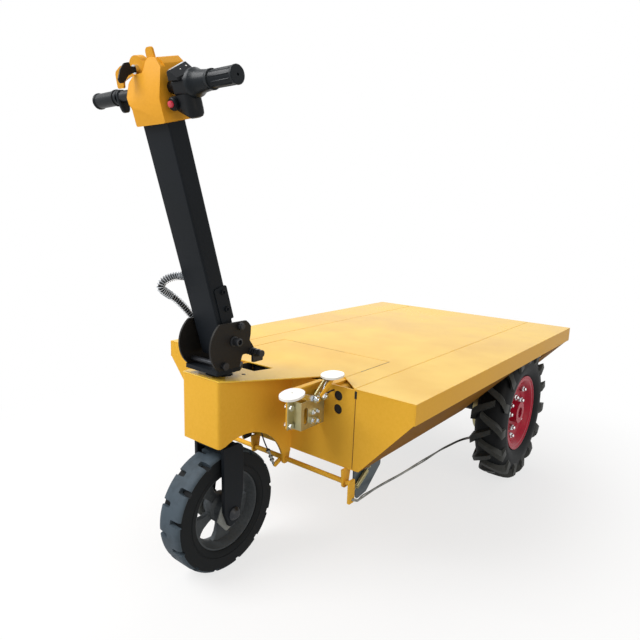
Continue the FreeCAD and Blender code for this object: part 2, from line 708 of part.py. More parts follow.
def brake_plates():
    """Back plates of the drum brakes with the levers that the brake rods pull."""
    body = new_body("brake_plates", 0, axle_y, rear_radius)
    plate_pad = pad(body, "YZ_Plane", [("circle", 0, 0, drum_radius), ("circle", 0, 0, rear_stub + fit)],
                    tube_end, tube_end + drum_width)
    lever = pad(body, "YZ_Plane", [[(-12, -50, 8), (6, -50, 8), (-4, -arm_drop, 6), (-18, -arm_drop, 6)]],
                tube_end + 4, tube_end + drum_width - 4)
    mirror(body, [plate_pad, lever], "YZ_Plane")
    return body


def battery_pack():
    """The traction battery, one block standing on the tray."""
    block = doc.addObject("Part::Box", "battery_pack")
    block.Label = "battery_pack"
    bind(block, "Length", battery_width)
    bind(block, "Width", battery_length)
    bind(block, "Height", battery_height)
    bind(block, "Placement.Base.x", -battery_width / 2)
    bind(block, "Placement.Base.y", front_axle_y + deck_front + battery_back)
    bind(block, "Placement.Base.z", tray_floor + steel)
    return block




# ---------------------------------------------------------------- wheels

def front_tyre():
    body = new_body("front_tyre", 0, 0, front_radius)
    half = front_width / 2
    turn(body, "PartDesign::Revolution", "XY_Plane", [[
        (-half + 4, front_rim_radius), (half - 4, front_rim_radius), (half, front_rim_radius + 6),
        (half, front_radius - 5, 5), (half - 9, front_radius, 6), (9 - half, front_radius, 6),
        (-half, front_radius - 5, 5), (-half, front_rim_radius + 6)]], "X_Axis")
    return body


def front_rim():
    """The cast front wheel: a rim, a hub and five spokes between trapezoid openings."""
    body = new_body("front_rim", 0, 0, front_radius)
    half = front_width / 2 - 6
    web = Size.of(9)
    turn(body, "PartDesign::Revolution", "XY_Plane", [[
        (-30, front_pin + fit), (30, front_pin + fit), (30, front_hub_radius), (web, front_hub_radius + 6),
        (web, front_rim_inner - 4), (half, front_rim_inner), (half, front_rim_radius),
        (-half, front_rim_radius), (-half, front_rim_inner), (-web, front_rim_inner - 4),
        (-web, front_hub_radius + 6), (-30, front_hub_radius)]], "X_Axis")
    opening = pocket(body, "YZ_Plane", [[
        (-13, front_hub_radius + 12, 4), (13, front_hub_radius + 12, 4),
        (30, front_rim_inner - 14, 5), (-30, front_rim_inner - 14, 5)]], -half, half)
    around(body, [opening], "X_Axis", 5)
    return body


def rear_tyre(label, side):
    body = new_body(label, side * rear_track / 2, axle_y, rear_radius)
    half = rear_width / 2
    bead = rear_rim_width / 2 - 5
    turn(body, "PartDesign::Revolution", "XY_Plane", [[
        (-bead, rear_bead), (bead, rear_bead), (bead, rear_flange), (half, rear_flange + 34, 14),
        (half - 4, rear_radius, 9), (4 - half, rear_radius, 9), (-half, rear_flange + 34, 14),
        (-bead, rear_flange)]], "X_Axis")
    return body


def rear_rim(label, side):
    """Pressed rim with a dished centre, turned so that the dish faces outward."""
    body = new_body(label, side * rear_track / 2, axle_y, rear_radius)
    half = rear_rim_width / 2
    skin = Size.of(4)
    turn(body, "PartDesign::Revolution", "XY_Plane", [[
        (-half, rear_flange), (-half, rear_bead - skin), (side * 14 - 3, rear_bead - skin),
        (side * 8 - 3, 42), (side * 8 + 3, 42), (side * 14 + 3, rear_bead - skin),
        (half, rear_bead - skin), (half, rear_flange), (half - skin, rear_flange),
        (half - skin, rear_bead), (skin - half, rear_bead), (skin - half, rear_flange)]], "X_Axis")
    return body


def rear_hub(label, side):
    """Hub on the axle shaft with the flange that carries the rim's bolts."""
    body = new_body(label, side * rear_track / 2, axle_y, rear_radius)
    face = side * 8
    outer = face + side * 3
    turn(body, "PartDesign::Revolution", "XY_Plane", [[
        (-side * 46, rear_stub + fit), (side * 34, rear_stub + fit), (side * 34, 34), (outer, 34),
        (outer, 41), (face - side * 3, 42), (face - side * 3, 66), (face - side * 13, 66),
        (face - side * 13, 40), (-side * 46, 36)]], "X_Axis")
    return body


# ---------------------------------------------------------------- fork, stem and hinge

def fork():
    body = new_body("fork")
    leg = pad(body, "YZ_Plane", [[
        (-fork_front, fork_top), (2 - fork_front, 152, 20), (-13, 113, 5), (16, 122, 16),
        (fork_back, 190, 30), (fork_back, fork_top, 16)]], fork_inside, fork_inside + fork_leg)
    mirror(body, [leg], "YZ_Plane")
    pad(body, "XY_Plane", [box(-fork_inside, fork_inside, 4 - fork_front, fork_back - 16)],
        fork_top - crown, fork_top)
    pocket(body, "YZ_Plane", [("circle", 0, front_radius, front_pin)],
           -fork_inside - fork_leg - 5, fork_inside + fork_leg + 5)
    return body


def front_axle():
    """Axle bolt with domed caps and the sleeves that centre the wheel."""
    body = new_body("front_axle", 0, 0, front_radius)
    out = fork_inside + fork_leg
    turn(body, "PartDesign::Revolution", "XY_Plane", [[
        (-out - 9, 0), (-out - 9, 9, 5), (-out - 2, 15.5, 2), (-out, 15.5), (-out, front_pin),
        (-fork_inside, front_pin), (-fork_inside, 13), (-31, 13), (-31, front_pin), (31, front_pin),
        (31, 13), (fork_inside, 13), (fork_inside, front_pin), (out, front_pin), (out, 15.5),
        (out + 2, 15.5, 2), (out + 9, 9, 5), (out + 9, 0)]], "X_Axis")
    return body


def steering_stem():
    body = new_body("steering_stem")
    pad(body, "XY_Plane", [("circle", 0, 0, stem_radius)], fork_top, base_low)
    return body


base_top = base_low + base
cheek_inside = column_width / 2 + strap + hinge_play
cheek_outside = cheek_inside + cheek


def hinge_base():
    """Turntable plate of the hinge, with an ear on its right for the cable gland."""
    body = new_body("hinge_base")
    half = cheek_outside
    pad(body, "XY_Plane", [[
        (-half, -50, 4), (half, -50, 4), (half, 14, 4), (30, 44, 8), (-26, 50, 6), (-half, 48, 4),
        (gland_x - gland_radius, 48, 8), (gland_x - gland_radius, 12, 8), (-half, 4)]],
        base_low, base_top)
    pad(body, "XY_Plane", [("circle", gland_x, 30, gland_radius)], base_top, base_top + gland_height)
    return body


def hinge_cheeks():
    """Disc plates with a flat foot, a flat top, a notch at the rear and a lobe for the latch bolt."""
    body = new_body("hinge_cheeks")
    near, far = cheek_inside, cheek_outside
    disc = pad(body, "YZ_Plane", [("circle", pivot_y, cheek_height, cheek_radius)], near, far)
    reach = cheek_radius + 10
    cuts = [
        pocket(body, "YZ_Plane", [box(pivot_y - reach, pivot_y + reach, cheek_top, cheek_height + reach)],
               near, far),
        pocket(body, "YZ_Plane", [box(pivot_y - reach, pivot_y + reach, cheek_height - reach, base_top)],
               near, far),
        pocket(body, "YZ_Plane", [[
            (46, 575), (45, 550, 12), (42, 536, 6), (50, 526, 5), (57, 515), (80, 515), (80, 575)]],
            near, far),
        pocket(body, "YZ_Plane", [[
            (35, 508), (21, 507, 5), (17, 497, 5), (12, base_top - 1), (80, base_top - 1), (80, 500),
            (60, 500)]], near, far)]
    lobe = pad(body, "YZ_Plane", [[
        (38, 532), (50, 526, 5), (57, 515), (62, 507, 4), (58, 500, 4), (34, 506)]], near, far)
    holes = pocket(body, "YZ_Plane", [
        ("circle", pivot_y, pivot_height, pivot_radius), ("circle", lock_y, lock_height, cheek_bolt),
        ("circle", spacer_y, spacer_height, cheek_bolt), ("circle", latch_y, latch_height, latch_radius)],
        near, far)
    mirror(body, [disc] + cuts + [lobe, holes], "YZ_Plane")
    return body


def pivot_bolt():
    body = new_body("pivot_bolt", 0, pivot_y, pivot_height)
    out = cheek_outside
    turn(body, "PartDesign::Revolution", "XY_Plane", [[
        (-out - 16, 0), (-out - 16, 8.5, 1.5), (-out - 4, 8.5), (-out - 4, 11), (-out, 11),
        (-out, pivot_radius), (out, pivot_radius), (out, 11), (out + 4, 11), (out + 4, 8.5),
        (out + 20, 8.5, 1.5), (out + 20, 5), (out + 12, 5), (out + 12, 0)]], "X_Axis")
    return body


def hinge_bolts():
    """The spacer bolt low between the cheeks and the short lock bolt at the top of each."""
    body = new_body("hinge_bolts")
    near, far = cheek_inside, cheek_outside
    lock = pad(body, "YZ_Plane", [("circle", lock_y, lock_height, cheek_bolt)], near, far + 10)
    lock_head = pad(body, "YZ_Plane", [("circle", lock_y, lock_height, cheek_bolt + 2)], far, far + 7)
    spacer_head = pad(body, "YZ_Plane", [("circle", spacer_y, spacer_height, cheek_bolt + 2)], far, far + 9)
    mirror(body, [lock, lock_head, spacer_head], "YZ_Plane")
    pad(body, "YZ_Plane", [("circle", spacer_y, spacer_height, cheek_bolt)], -far, far)
    return body


def stop_screw():
    """The latch bolt in the left cheek's lobe, with its nuts, its knob and the latch plate on it."""
    body = new_body("stop_screw")
    far = cheek_outside
    across = latch_radius * 3.5
    knob = latch_radius + 3.5
    pad(body, "YZ_Plane", [("circle", latch_y, latch_height, latch_radius)], cheek_inside, far + 33)
    pad(body, "YZ_Plane", [hexagon(latch_y, latch_height, across)], far, far + 6)
    pad(body, "YZ_Plane", [hexagon(latch_y, latch_height, across)], far + 16, far + 24)
    pad(body, "YZ_Plane", [("circle", latch_y, latch_height, knob)], far + 29, far + 35)
    pad(body, "YZ_Plane", [[
        (39, 520, 5), (51, 520, 5), (51, 502), (69, 502, 2), (69, 489, 2), (39, 489, 2)]],
        far + 8, far + 14)
    return body


# ---------------------------------------------------------------- column and control head

def column_tube():
    body = column_body("column_tube")
    wide, deep = column_width / 2, column_depth / 2
    wide_in, deep_in = wide - column_wall, deep - column_wall
    inner = column_corner - column_wall
    pad(body, "XY_Plane", [
        [(-wide, -deep, column_corner), (wide, -deep, column_corner), (wide, deep, column_corner),
         (-wide, deep, column_corner)],
        [(-wide_in, -deep_in, inner), (wide_in, -deep_in, inner), (wide_in, deep_in, inner),
         (-wide_in, deep_in, inner)]],
        -column_tail, head_base + 20)
    pocket(body, "YZ_Plane", [("circle", 0, 0, pivot_radius + fit)], -wide - 5, wide + 5)
    pocket(body, "YZ_Plane", [("circle", -loom_front, loom_height, loom_radius + 1)], -wide - 5, -wide_in)
    return body


def column_straps():
    """Straps bolted to the column's sides above the hinge."""
    body = column_body("column_straps")
    near, far = column_width / 2, column_width / 2 + strap
    deep = column_depth / 2
    plate_pad = pad(body, "YZ_Plane", [[
        (9 - deep, strap_low), (deep + 3, strap_low), (deep + 3, strap_high, 6),
        (9 - deep, strap_high, 6)]], near, far)
    heads = pad(body, "YZ_Plane", [("circle", 9, strap_bolt_low, 5.5), ("circle", 9, strap_bolt_high, 5.5)],
                far, far + 4)
    sockets = pocket(body, "YZ_Plane", [
        ("circle", 9, strap_bolt_low, 3), ("circle", 9, strap_bolt_high, 3)], far + 1, far + 4)
    mirror(body, [plate_pad, heads, sockets], "YZ_Plane")
    return body


def head_housing():
    """Control head: a shell round the top of the column, its upper front leaning back.

    The front panel has a shoulder and a bite for the key on the right and a lobe on top, the
    disc behind it carries the lock, and a bowed guard stands out to the right of that.
    """
    body = column_body("head_housing")
    top = head_base + head_height
    shoulder = head_base + 52
    pad(body, "XZ_Plane", [[
        (-head_half, head_base, 4), (head_half, head_base, 4), (head_half, top - 7, 5),
        (head_half - 12, top + 5, 5), (-22, top + 5, 5), (-22, top - 12), (-head_half, top - 12)]],
        -2, head_back)
    pad(body, "XZ_Plane", [[
        (-head_half, head_base, 4), (head_half, head_base, 4), (head_half, top - 12, 5),
        (27, top + 5, 8), (10, top + 8, 8), (0, top + 5, 8), (-9, top - 14, 6), (-38, top - 16, 10),
        (-52, top - 26, 8), (-57, shoulder, 8), (-head_half, head_base + 31, 9)]], -head_front, -2)
    lean_run = Size.of(18) / 49
    pocket(body, "YZ_Plane", [[
        (-head_front - 5, head_base + 40), (-head_front, head_base + 40),
        (-head_front + (head_height - 25) * lean_run, top + 15), (-head_front - 5, top + 15)]],
        -head_half - 30, head_half + 5)
    pad(body, "XZ_Plane", [("circle", key_x, key_height, key_disc)], -2, 12)
    left, right = tab_x - tab_wide / 2, tab_x + tab_wide / 2
    pad(body, "XZ_Plane", [[
        (left, top - 5), (right, top - 5), (right - 1, top + tab_height, 6), (left + 1, top + tab_height, 8)]],
        -1, 3)
    pad(body, "XZ_Plane", [[
        (key_x - 5, key_height + 10), (-86, 551, 14), (-108, 543, 12), (-113, 514, 4), (-93, 513, 4),
        (-89, 524, 6), (key_x - 20, key_height - 8)]], -2, 2)
    pocket(body, "XY_Plane", [[
        (-column_width / 2, -column_depth / 2, column_corner),
        (column_width / 2, -column_depth / 2, column_corner),
        (column_width / 2, column_depth / 2, column_corner),
        (-column_width / 2, column_depth / 2, column_corner)]], head_base, head_base + 20)
    pocket(body, "YZ_Plane", [("circle", bar_back, bar_height, bar_radius)], -head_half - 35, head_half + 5)
    return body


def key_switch():
    """Lock barrel standing out of its disc on the head."""
    body = column_body("key_switch")
    pad(body, "XZ_Plane", [("circle", key_x, key_height, 8)], -9, -2)
    pocket(body, "XZ_Plane", [box(key_x - 1.2, key_x + 1.2, key_height - 4.2, key_height + 4.2)], -9, -4)
    return body


def ignition_key():
    """Flat key: its blade in the lock and a neck that widens to the bowed grip."""
    body = column_body("ignition_key")
    pad(body, "XZ_Plane", [box(key_x - 1, key_x + 1, key_height - 4, key_height + 4)], -12, -5)
    mid = key_height
    pad(body, "YZ_Plane", [[
        (-10, mid - 5), (-10, mid + 5), (-15, mid + 6, 2), (-15, mid + 13, 3), (-27, mid + 12, 8),
        (-38, mid + 2, 8), (-47, mid - 13, 5), (-45, mid - 20, 3), (-37, mid - 20, 3),
        (-31, mid - 15, 5), (-24, mid - 9, 8)]], key_x - 2, key_x + 2)
    return body


def handlebar():
    bar = column_body("handlebar")
    pad(bar, "YZ_Plane", [("circle", bar_back, bar_height, bar_radius)], 3 - right_end, bar_half - 3)
    return bar


def left_grip():
    """Twist grip: the flared drive housing, its collar and the ribbed rubber grip."""
    body = new_body("left_grip", 0, 0, 0)
    shaft_frame(body)
    inner = flange_x
    turn(body, "PartDesign::Revolution", "XY_Plane", [[
        (inner, bar_radius), (bar_half - 3, bar_radius), (bar_half - 3, 2), (bar_half, 2),
        (bar_half, grip_radius + 1.3, 2), (bar_half - 5, grip_radius + 1.3, 1),
        (bar_half - 6, grip_radius), (collar_x + 5, grip_radius), (collar_x + 5, grip_radius + 3, 1),
        (collar_x - 1, grip_radius + 3, 1), (collar_x - 2, grip_radius + 2),
        (inner + 18, grip_radius + 4.5, 8), (inner + 9, grip_radius + 10, 4),
        (inner, grip_radius + 10, 2)]], "X_Axis")
    return body


def right_grip():
    """Plain grip with the narrow paddle at its inner end."""
    body = new_body("right_grip", 0, 0, 0)
    shaft_frame(body)
    turn(body, "PartDesign::Revolution", "XY_Plane", [[
        (-right_inner, bar_radius), (3 - right_end, bar_radius), (3 - right_end, 2), (-right_end, 2),
        (-right_end, grip_radius + 1.3, 2), (5 - right_end, grip_radius + 1.3, 1),
        (6 - right_end, grip_radius), (-right_inner, grip_radius)]], "X_Axis")
    pad(body, "YZ_Plane", [
        [(-8, -29, 7), (8, -29, 7), (14, -8, 10), (14, 13, 10), (-14, 13, 10), (-14, -8, 10)],
        ("circle", 0, 0, bar_radius)], -right_inner, 9 - right_inner)
    return body


def shaft_frame(body):
    """Stand a body's own X axis on the handlebar."""
    body.Placement = Placement(Vector(), Rotation(Vector(1, 0, 0), lean.value))
    bind(body, "Placement.Rotation.Angle", lean)
    bind(body, "Placement.Base.y",
         front_axle_y + pivot_y + bar_back * cosine(lean) - bar_height * sine(lean))
    bind(body, "Placement.Base.z", pivot_height + bar_back * sine(lean) + bar_height * cosine(lean))


def throttle_housing():
    """Clamp of the drive control with the slanting battery gauge stepped down to its left."""
    body = column_body("throttle_housing")
    low, high = bar_height - 16, bar_height + 13
    pad(body, "YZ_Plane", [
        [(-15, low, 5), (21, low, 5), (22, high, 8), (-16, high, 8)],
        ("circle", bar_back, bar_height, bar_radius)], clamp_x, flange_x)
    pad(body, "YZ_Plane", [[
        (-14, high - 1), (-20, high + 2, 2), (-21, high + 11, 2), (21, high + 23, 3), (20, high - 1)]],
        clamp_x, clamp_x + 8)
    pad(body, "YZ_Plane", [[
        (-12, high - 1), (-16, high + 2, 2), (-16, high + 5, 2), (19, high + 14, 3), (19, high - 1)]],
        clamp_x + 8, clamp_x + 24)
    return body


def switch_housing():
    """Switch box hanging from the clamp, deepest at its left, with the seat of the horn button."""
    body = column_body("switch_housing")
    low, high = horn_height - 28, bar_height - 16
    pad(body, "XZ_Plane", [[
        (52, low + 15, 6), (80, low, 6), (97, low + 2, 8), (flange_x, low + 30, 4), (flange_x, high),
        (clamp_x, high), (clamp_x - 6, high - 6, 3), (52, high - 7, 4)]], -13, 17)
    pad(body, "XZ_Plane", [("circle", horn_x, horn_height, 11.5)], -19, -12)
    return body


def horn_button():
    body = column_body("horn_button")
    pad(body, "XZ_Plane", [("circle", horn_x, horn_height, 5.5)], -25, -19)
    return body


# ---------------------------------------------------------------- pedals

def pedal_bracket():
    """Bent hat bracket bolted to the lug; its outer face carries the pedal pivots."""
    body = new_body("pedal_bracket")
    front, rear = lug_front + 18, deck_front - 20
    sheet_in = bracket_sheet
    pad(body, "XY_Plane", [[
        (lug_x, lug_front), (lug_x + sheet_in, lug_front), (lug_x + sheet_in, front - sheet_in),
        (bracket_x, front - sheet_in), (bracket_x, rear), (lug_x + sheet_in, rear),
        (lug_x + sheet_in, rear + 14), (lug_x, rear + 14), (lug_x, rear - sheet_in),
        (bracket_x - sheet_in, rear - sheet_in), (bracket_x - sheet_in, front), (lug_x, front)]],
        bracket_low, bracket_high + 8)
    pocket(body, "YZ_Plane", [box(lug_front - 5, front + 14, bracket_high, bracket_high + 12),
                              box(rear - 2, rear + 20, bracket_high, bracket_high + 12)],
           lug_x - 5, bracket_x + 5)
    pocket(body, "YZ_Plane", [("circle", y, z, pedal_pin) for y, z in flange_bolts],
           lug_x, lug_x + bracket_sheet)
    pocket(body, "YZ_Plane", [("circle", y, z, pedal_pin) for y, z in pivots + stop_bolts],
           bracket_x - bracket_sheet, bracket_x)
    pocket(body, "YZ_Plane", [[
        (front + 7, 366, 5), (front + 19, 366, 5), (front + 19, 402, 5), (front + 7, 402, 5)]],
        bracket_x - bracket_sheet, bracket_x)
    return body


def pedal_bolts():
    """The bracket's two bolts, the two pedal pivots and the two stop bolts."""
    body = new_body("pedal_bolts")
    lug_back = lug_x - lug
    for y, z in flange_bolts:
        pad(body, "YZ_Plane", [("circle", y, z, pedal_pin)], lug_back - 8, lug_x + bracket_sheet)
        pad(body, "YZ_Plane", [hexagon(y, z, 12)], lug_back - 5, lug_back)
        pad(body, "YZ_Plane", [hexagon(y, z, 12)], lug_x + bracket_sheet, lug_x + bracket_sheet + 6)
    for y, z in pivots + stop_bolts:
        inside = bracket_x - bracket_sheet
        clamp = bracket_x if (y, z) in stop_bolts else bracket_x + arm + 2
        pad(body, "YZ_Plane", [("circle", y, z, pedal_pin)], inside, clamp)
        pad(body, "YZ_Plane", [hexagon(y, z, 12)], inside - 6, inside)
        pad(body, "YZ_Plane", [hexagon(y, z, 14)], clamp, clamp + 7)
        pad(body, "YZ_Plane", [("circle", y, z, pedal_pin)], clamp + 7, clamp + 11)
    return body


def pedal(label, pivot, tip, tilt, tip_x):
    """A flat arm on its pivot, and the oval pad on its end tilted down to the front."""
    body = new_body(label)
    tip_y, tip_z = Size.of(tip[0]), Size.of(tip[1])
    wide, long = pad_width / 2, pad_length / 2
    pad(body, "XY_Plane", [[
        (tip_x - wide, tip_y - long, 24), (tip_x + wide, tip_y - long, 24),
        (tip_x + wide, tip_y + long, 24), (tip_x - wide, tip_y + long, 24)]], tip_z - 30, tip_z + 30)
    drop = (long + 5) * tangent(Size.of(tilt))
    front, rear = tip_y - long - 5, tip_y + long + 5
    pocket(body, "YZ_Plane", [
        [(front, tip_z - drop), (rear, tip_z + drop), (rear, tip_z + 40), (front, tip_z + 40)],
        [(front, tip_z - drop - pad_thick), (front, tip_z - 40), (rear, tip_z - 40),
         (rear, tip_z + drop - pad_thick)]], tip_x - wide - 5, tip_x + wide + 5)
    y, z = pivot
    run, rise = tip[0] - y, tip[1] - 3 - z
    far = math.hypot(run, rise)
    along_y, along_z = run / far, rise / far
    half = 6
    pad(body, "YZ_Plane", [
        [(y - half * along_y - half * along_z, z - half * along_z + half * along_y, 5),
         (y - half * along_y + half * along_z, z - half * along_z - half * along_y, 5),
         (y + run + half * along_z, z + rise - half * along_y),
         (y + run - half * along_z, z + rise + half * along_y)],
        ("circle", y, z, pedal_pin)], bracket_x + 1, bracket_x + 1 + arm)
    return body


# ---------------------------------------------------------------- brake gear

def brake_shaft():
    """Cross shaft with a lever at each end and the inner one that the cable pulls."""
    body = new_body("brake_shaft", 0, deck_front, shaft_height)
    half = hanger / 2
    end = pad(body, "YZ_Plane", [[
        (-lever_wide / 2, 10, 4), (-lever_wide / 2, -lever_drop, 4), (lever_wide / 2, -lever_drop, 4),
        (lever_wide / 2, 10, 4)]], lever_x - half, lever_x + half)
    hole = pocket(body, "YZ_Plane", [("circle", 3, 8 - lever_drop, rod_radius)],
                  lever_x - half, lever_x + half)
    mirror(body, [end, hole], "YZ_Plane")
    pad(body, "YZ_Plane", [[(9.6, -1.9, 5), (5.1, 8.3, 5), (-31.8, -7.9, 5), (-27.2, -18.1, 5)]],
        inner_lever_x - half, inner_lever_x + half)
    pad(body, "YZ_Plane", [("circle", 0, 0, shaft_radius)], -lever_x + half, lever_x - half)
    return body


def shaft_hangers():
    """Ears under the bulkhead that carry the brake cross shaft."""
    body = new_body("shaft_hangers", 0, deck_front, shaft_height)
    top = tray_floor - shaft_height
    ear = [(-14, top), (-10, -12, 8), (10, -12, 8), (18, top)]
    for x in (-234, -52, 52, 234):
        pad(body, "YZ_Plane", [ear], x - hanger / 2, x + hanger / 2)
    pocket(body, "YZ_Plane", [("circle", 0, 0, shaft_radius)], -lever_x, lever_x)
    return body


def spring_bracket():
    """Plate under the tray that anchors the return spring."""
    body = new_body("spring_bracket")
    pad(body, "YZ_Plane", [[
        (197, tray_floor), (312, tray_floor), (312, 213, 8), (252, 163, 12), (212, 158, 8),
        (197, 200, 10)]], anchor_x, anchor_x + 4)
    pad(body, "XY_Plane", [box(anchor_x - 22, anchor_x, 197, 312)], tray_floor - 4, tray_floor)
    return body


def return_spring():
    """The coil that pulls the brake lever back, hooked on the bracket and the lever."""
    body = new_body("return_spring", anchor_x + 9, 252, 228, tilt=spring_tilt)
    wire = Size.of(1.5)
    pad(body, "XY_Plane", [("circle", 0, 0, wire)], -3, 89)
    pad(body, "XY_Plane", [("circle", 0, 0, 5)], 12, 60)
    pad(body, "YZ_Plane", [("circle", 0, 0, 2.5)], -5, 2)
    pad(body, "YZ_Plane", [("circle", 0, 86, 2.5)], -2, lever_x - hanger / 2 - anchor_x - 9)
    return body


def bent_tube(label, points, radius, ferrule=0, both_sides=False):
    """A tube along straight runs joined by tangent arcs, each as large as its runs allow.

    A ferrule is a crimped sleeve of that length on the tube's first end.
    """
    spots = [Vector(*p) for p in points]
    edges, start = [], spots[0]
    for before, corner, after in zip(spots, spots[1:], spots[2:]):
        back, ahead = before - corner, after - corner
        reach = 0.45 * min(back.Length, ahead.Length)
        turn_half = (math.pi - back.getAngle(ahead)) / 2
        first = corner + back.normalize() * reach
        last = corner + ahead.normalize() * reach
        bend = reach / math.tan(turn_half)
        inward = (back + ahead).normalize()
        middle = corner + inward * (bend / math.cos(turn_half) - bend)
        edges.append(Part.LineSegment(start, first).toShape())
        edges.append(Part.Arc(first, middle, last).toShape())
        print(f"{label}: bend radius {bend:.0f}")
        start = last
    edges.append(Part.LineSegment(start, spots[-1]).toShape())
    path = Part.Wire(edges)
    circle = Part.makeCircle(radius.value, spots[0], spots[1] - spots[0])
    solid = path.makePipeShell([Part.Wire([circle])], True, False)
    full = math.pi * radius.value ** 2 * path.Length
    if abs(solid.Volume / full - 1) > 0.02:
        raise RuntimeError(f"{label}: the tube has a fold in it")
    if ferrule:
        sleeve = Part.makeCylinder(radius.value + 2, ferrule, spots[0], spots[1] - spots[0])
        solid = solid.fuse(sleeve)
    if both_sides:
        solid = Part.makeCompound([solid, solid.mirror(Vector(), Vector(1, 0, 0))])
    thing = doc.addObject("Part::Feature", label)
    thing.Label = label
    thing.Shape = solid
    bind(thing, "Placement.Base.y", front_axle_y)
    print(f"{label}: {path.Length:.0f} long")
    return thing


deck_plate()
nose_plate()
nose_box()
steering_head()
front_bulkhead()
side_skirts()
battery_tray()
chassis_frame()
rear_axle()
drive_motor()
axle_hangers()
brake_plates()
battery_pack()
front_tyre()
front_rim()
for name, side in (("left", 1), ("right", -1)):
    rear_tyre(f"rear_tyre_{name}", side)
    rear_rim(f"rear_rim_{name}", side)
    rear_hub(f"rear_hub_{name}", side)
fork()
front_axle()
steering_stem()
hinge_base()
hinge_cheeks()
pivot_bolt()
hinge_bolts()
stop_screw()
column_tube()
column_straps()
head_housing()
key_switch()
ignition_key()
handlebar()
left_grip()
right_grip()
throttle_housing()
switch_housing()
horn_button()
pedal_bracket()
pedal_bolts()
brake_shaft()
shaft_hangers()
pedal("brake_pedal", pivots[0], (28, 449), 10, bracket_x + 7)
pedal("release_pedal", pivots[1], (157, 465), 4, bracket_x + 12)
spring_bracket()
return_spring()
bent_tube("wiring_loom", loom_route, loom_radius)
bent_tube("brake_cable", cable_route, cable_radius, 16)
bent_tube("pedal_cable", pedal_cable_route, cable_radius)
bent_tube("brake_rods", rod_route, rod_radius, both_sides=True)


# ---------------------------------------------------------------- check and write

def pieces():
    return [o for o in doc.Objects if o.Label in labels]


labels = [o.Label for o in doc.Objects
          if o.TypeId in ("PartDesign::Body", "Part::Box", "Part::Feature") and o.getParentGroup() is None]
doc.recompute()
whole = Part.Compound([o.Shape for o in pieces()]).BoundBox
sheet.set(sheet.getCellFromAlias("front_axle_y"), str(round(-(whole.YMin + whole.YMax) / 2, 3)))
doc.recompute()
faulty = [o for o in doc.Objects if set(o.State) & {"Invalid", "Error"}]
for thing in faulty:
    home = thing.getParentGroup()
    print("not made:", home.Label if home else "", thing.Name, thing.State)
if faulty:
    raise RuntimeError(f"{len(faulty)} objects are not made")
unsound = [o.Label for o in pieces() if o.Shape.isNull() or not o.Shape.isValid()]
if unsound:
    raise RuntimeError(f"no valid shape: {unsound}")
for cut in doc.findObjects("PartDesign::Pocket"):
    if cut.Shape.Volume >= cut.BaseFeature.Shape.Volume - 0.01:
        raise RuntimeError(f"{cut.getParentGroup().Label}: {cut.Name} cuts nothing")

os.makedirs("parts", exist_ok=True)
for thing in pieces():
    thing.Shape.exportStep(f"parts/{thing.Label}.step")
print(len(pieces()), "pieces, front axle at y =", sheet.get("front_axle_y"))
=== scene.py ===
import json
import math

import bmesh
import bpy
from mathutils import Matrix, Vector


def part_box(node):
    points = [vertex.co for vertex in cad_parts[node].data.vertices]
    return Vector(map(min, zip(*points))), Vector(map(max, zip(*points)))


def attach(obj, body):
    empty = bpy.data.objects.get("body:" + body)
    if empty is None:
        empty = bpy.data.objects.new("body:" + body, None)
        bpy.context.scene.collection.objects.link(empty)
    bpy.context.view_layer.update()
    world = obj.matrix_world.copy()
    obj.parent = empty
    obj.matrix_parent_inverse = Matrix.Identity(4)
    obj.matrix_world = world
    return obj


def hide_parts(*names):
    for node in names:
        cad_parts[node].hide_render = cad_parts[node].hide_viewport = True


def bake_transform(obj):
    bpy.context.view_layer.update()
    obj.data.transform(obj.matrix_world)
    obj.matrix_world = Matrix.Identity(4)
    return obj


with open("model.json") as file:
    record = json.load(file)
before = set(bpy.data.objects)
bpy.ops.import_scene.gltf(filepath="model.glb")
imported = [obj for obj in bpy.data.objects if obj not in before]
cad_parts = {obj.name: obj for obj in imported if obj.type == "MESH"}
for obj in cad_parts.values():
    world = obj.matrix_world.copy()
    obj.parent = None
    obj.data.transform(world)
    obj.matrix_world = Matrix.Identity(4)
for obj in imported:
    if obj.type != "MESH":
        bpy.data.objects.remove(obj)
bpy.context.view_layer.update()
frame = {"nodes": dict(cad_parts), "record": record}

nodes = frame["nodes"]
slot_of = {p["node"]: p["material_slot"] for p in frame["record"]["subparts"]}


def centre(node):
    """Middle of a node's box."""
    low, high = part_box(node)
    return (low + high) / 2


FRONT = centre("front_axle").y       # the front axle's place along the trolley


# ------------------------------------------------------------------ materials

FINE_SHARE = 0.35                    # share of the fine grain in a finish; the rest is slow patches
COLOUR_FROM, COLOUR_TO = 0.38, 0.58  # noise over which the second colour passes into the first
GLOSS_FROM, GLOSS_TO = 0.35, 0.65    # noise over which the roughness runs


def linear(code):
    """Linear colour from a written hex colour."""
    written = [int(code[i:i + 2], 16) / 255 for i in (0, 2, 4)]
    return tuple(c / 12.92 if c < 0.04045 else ((c + 0.055) / 1.055) ** 2.4 for c in written) + (1,)


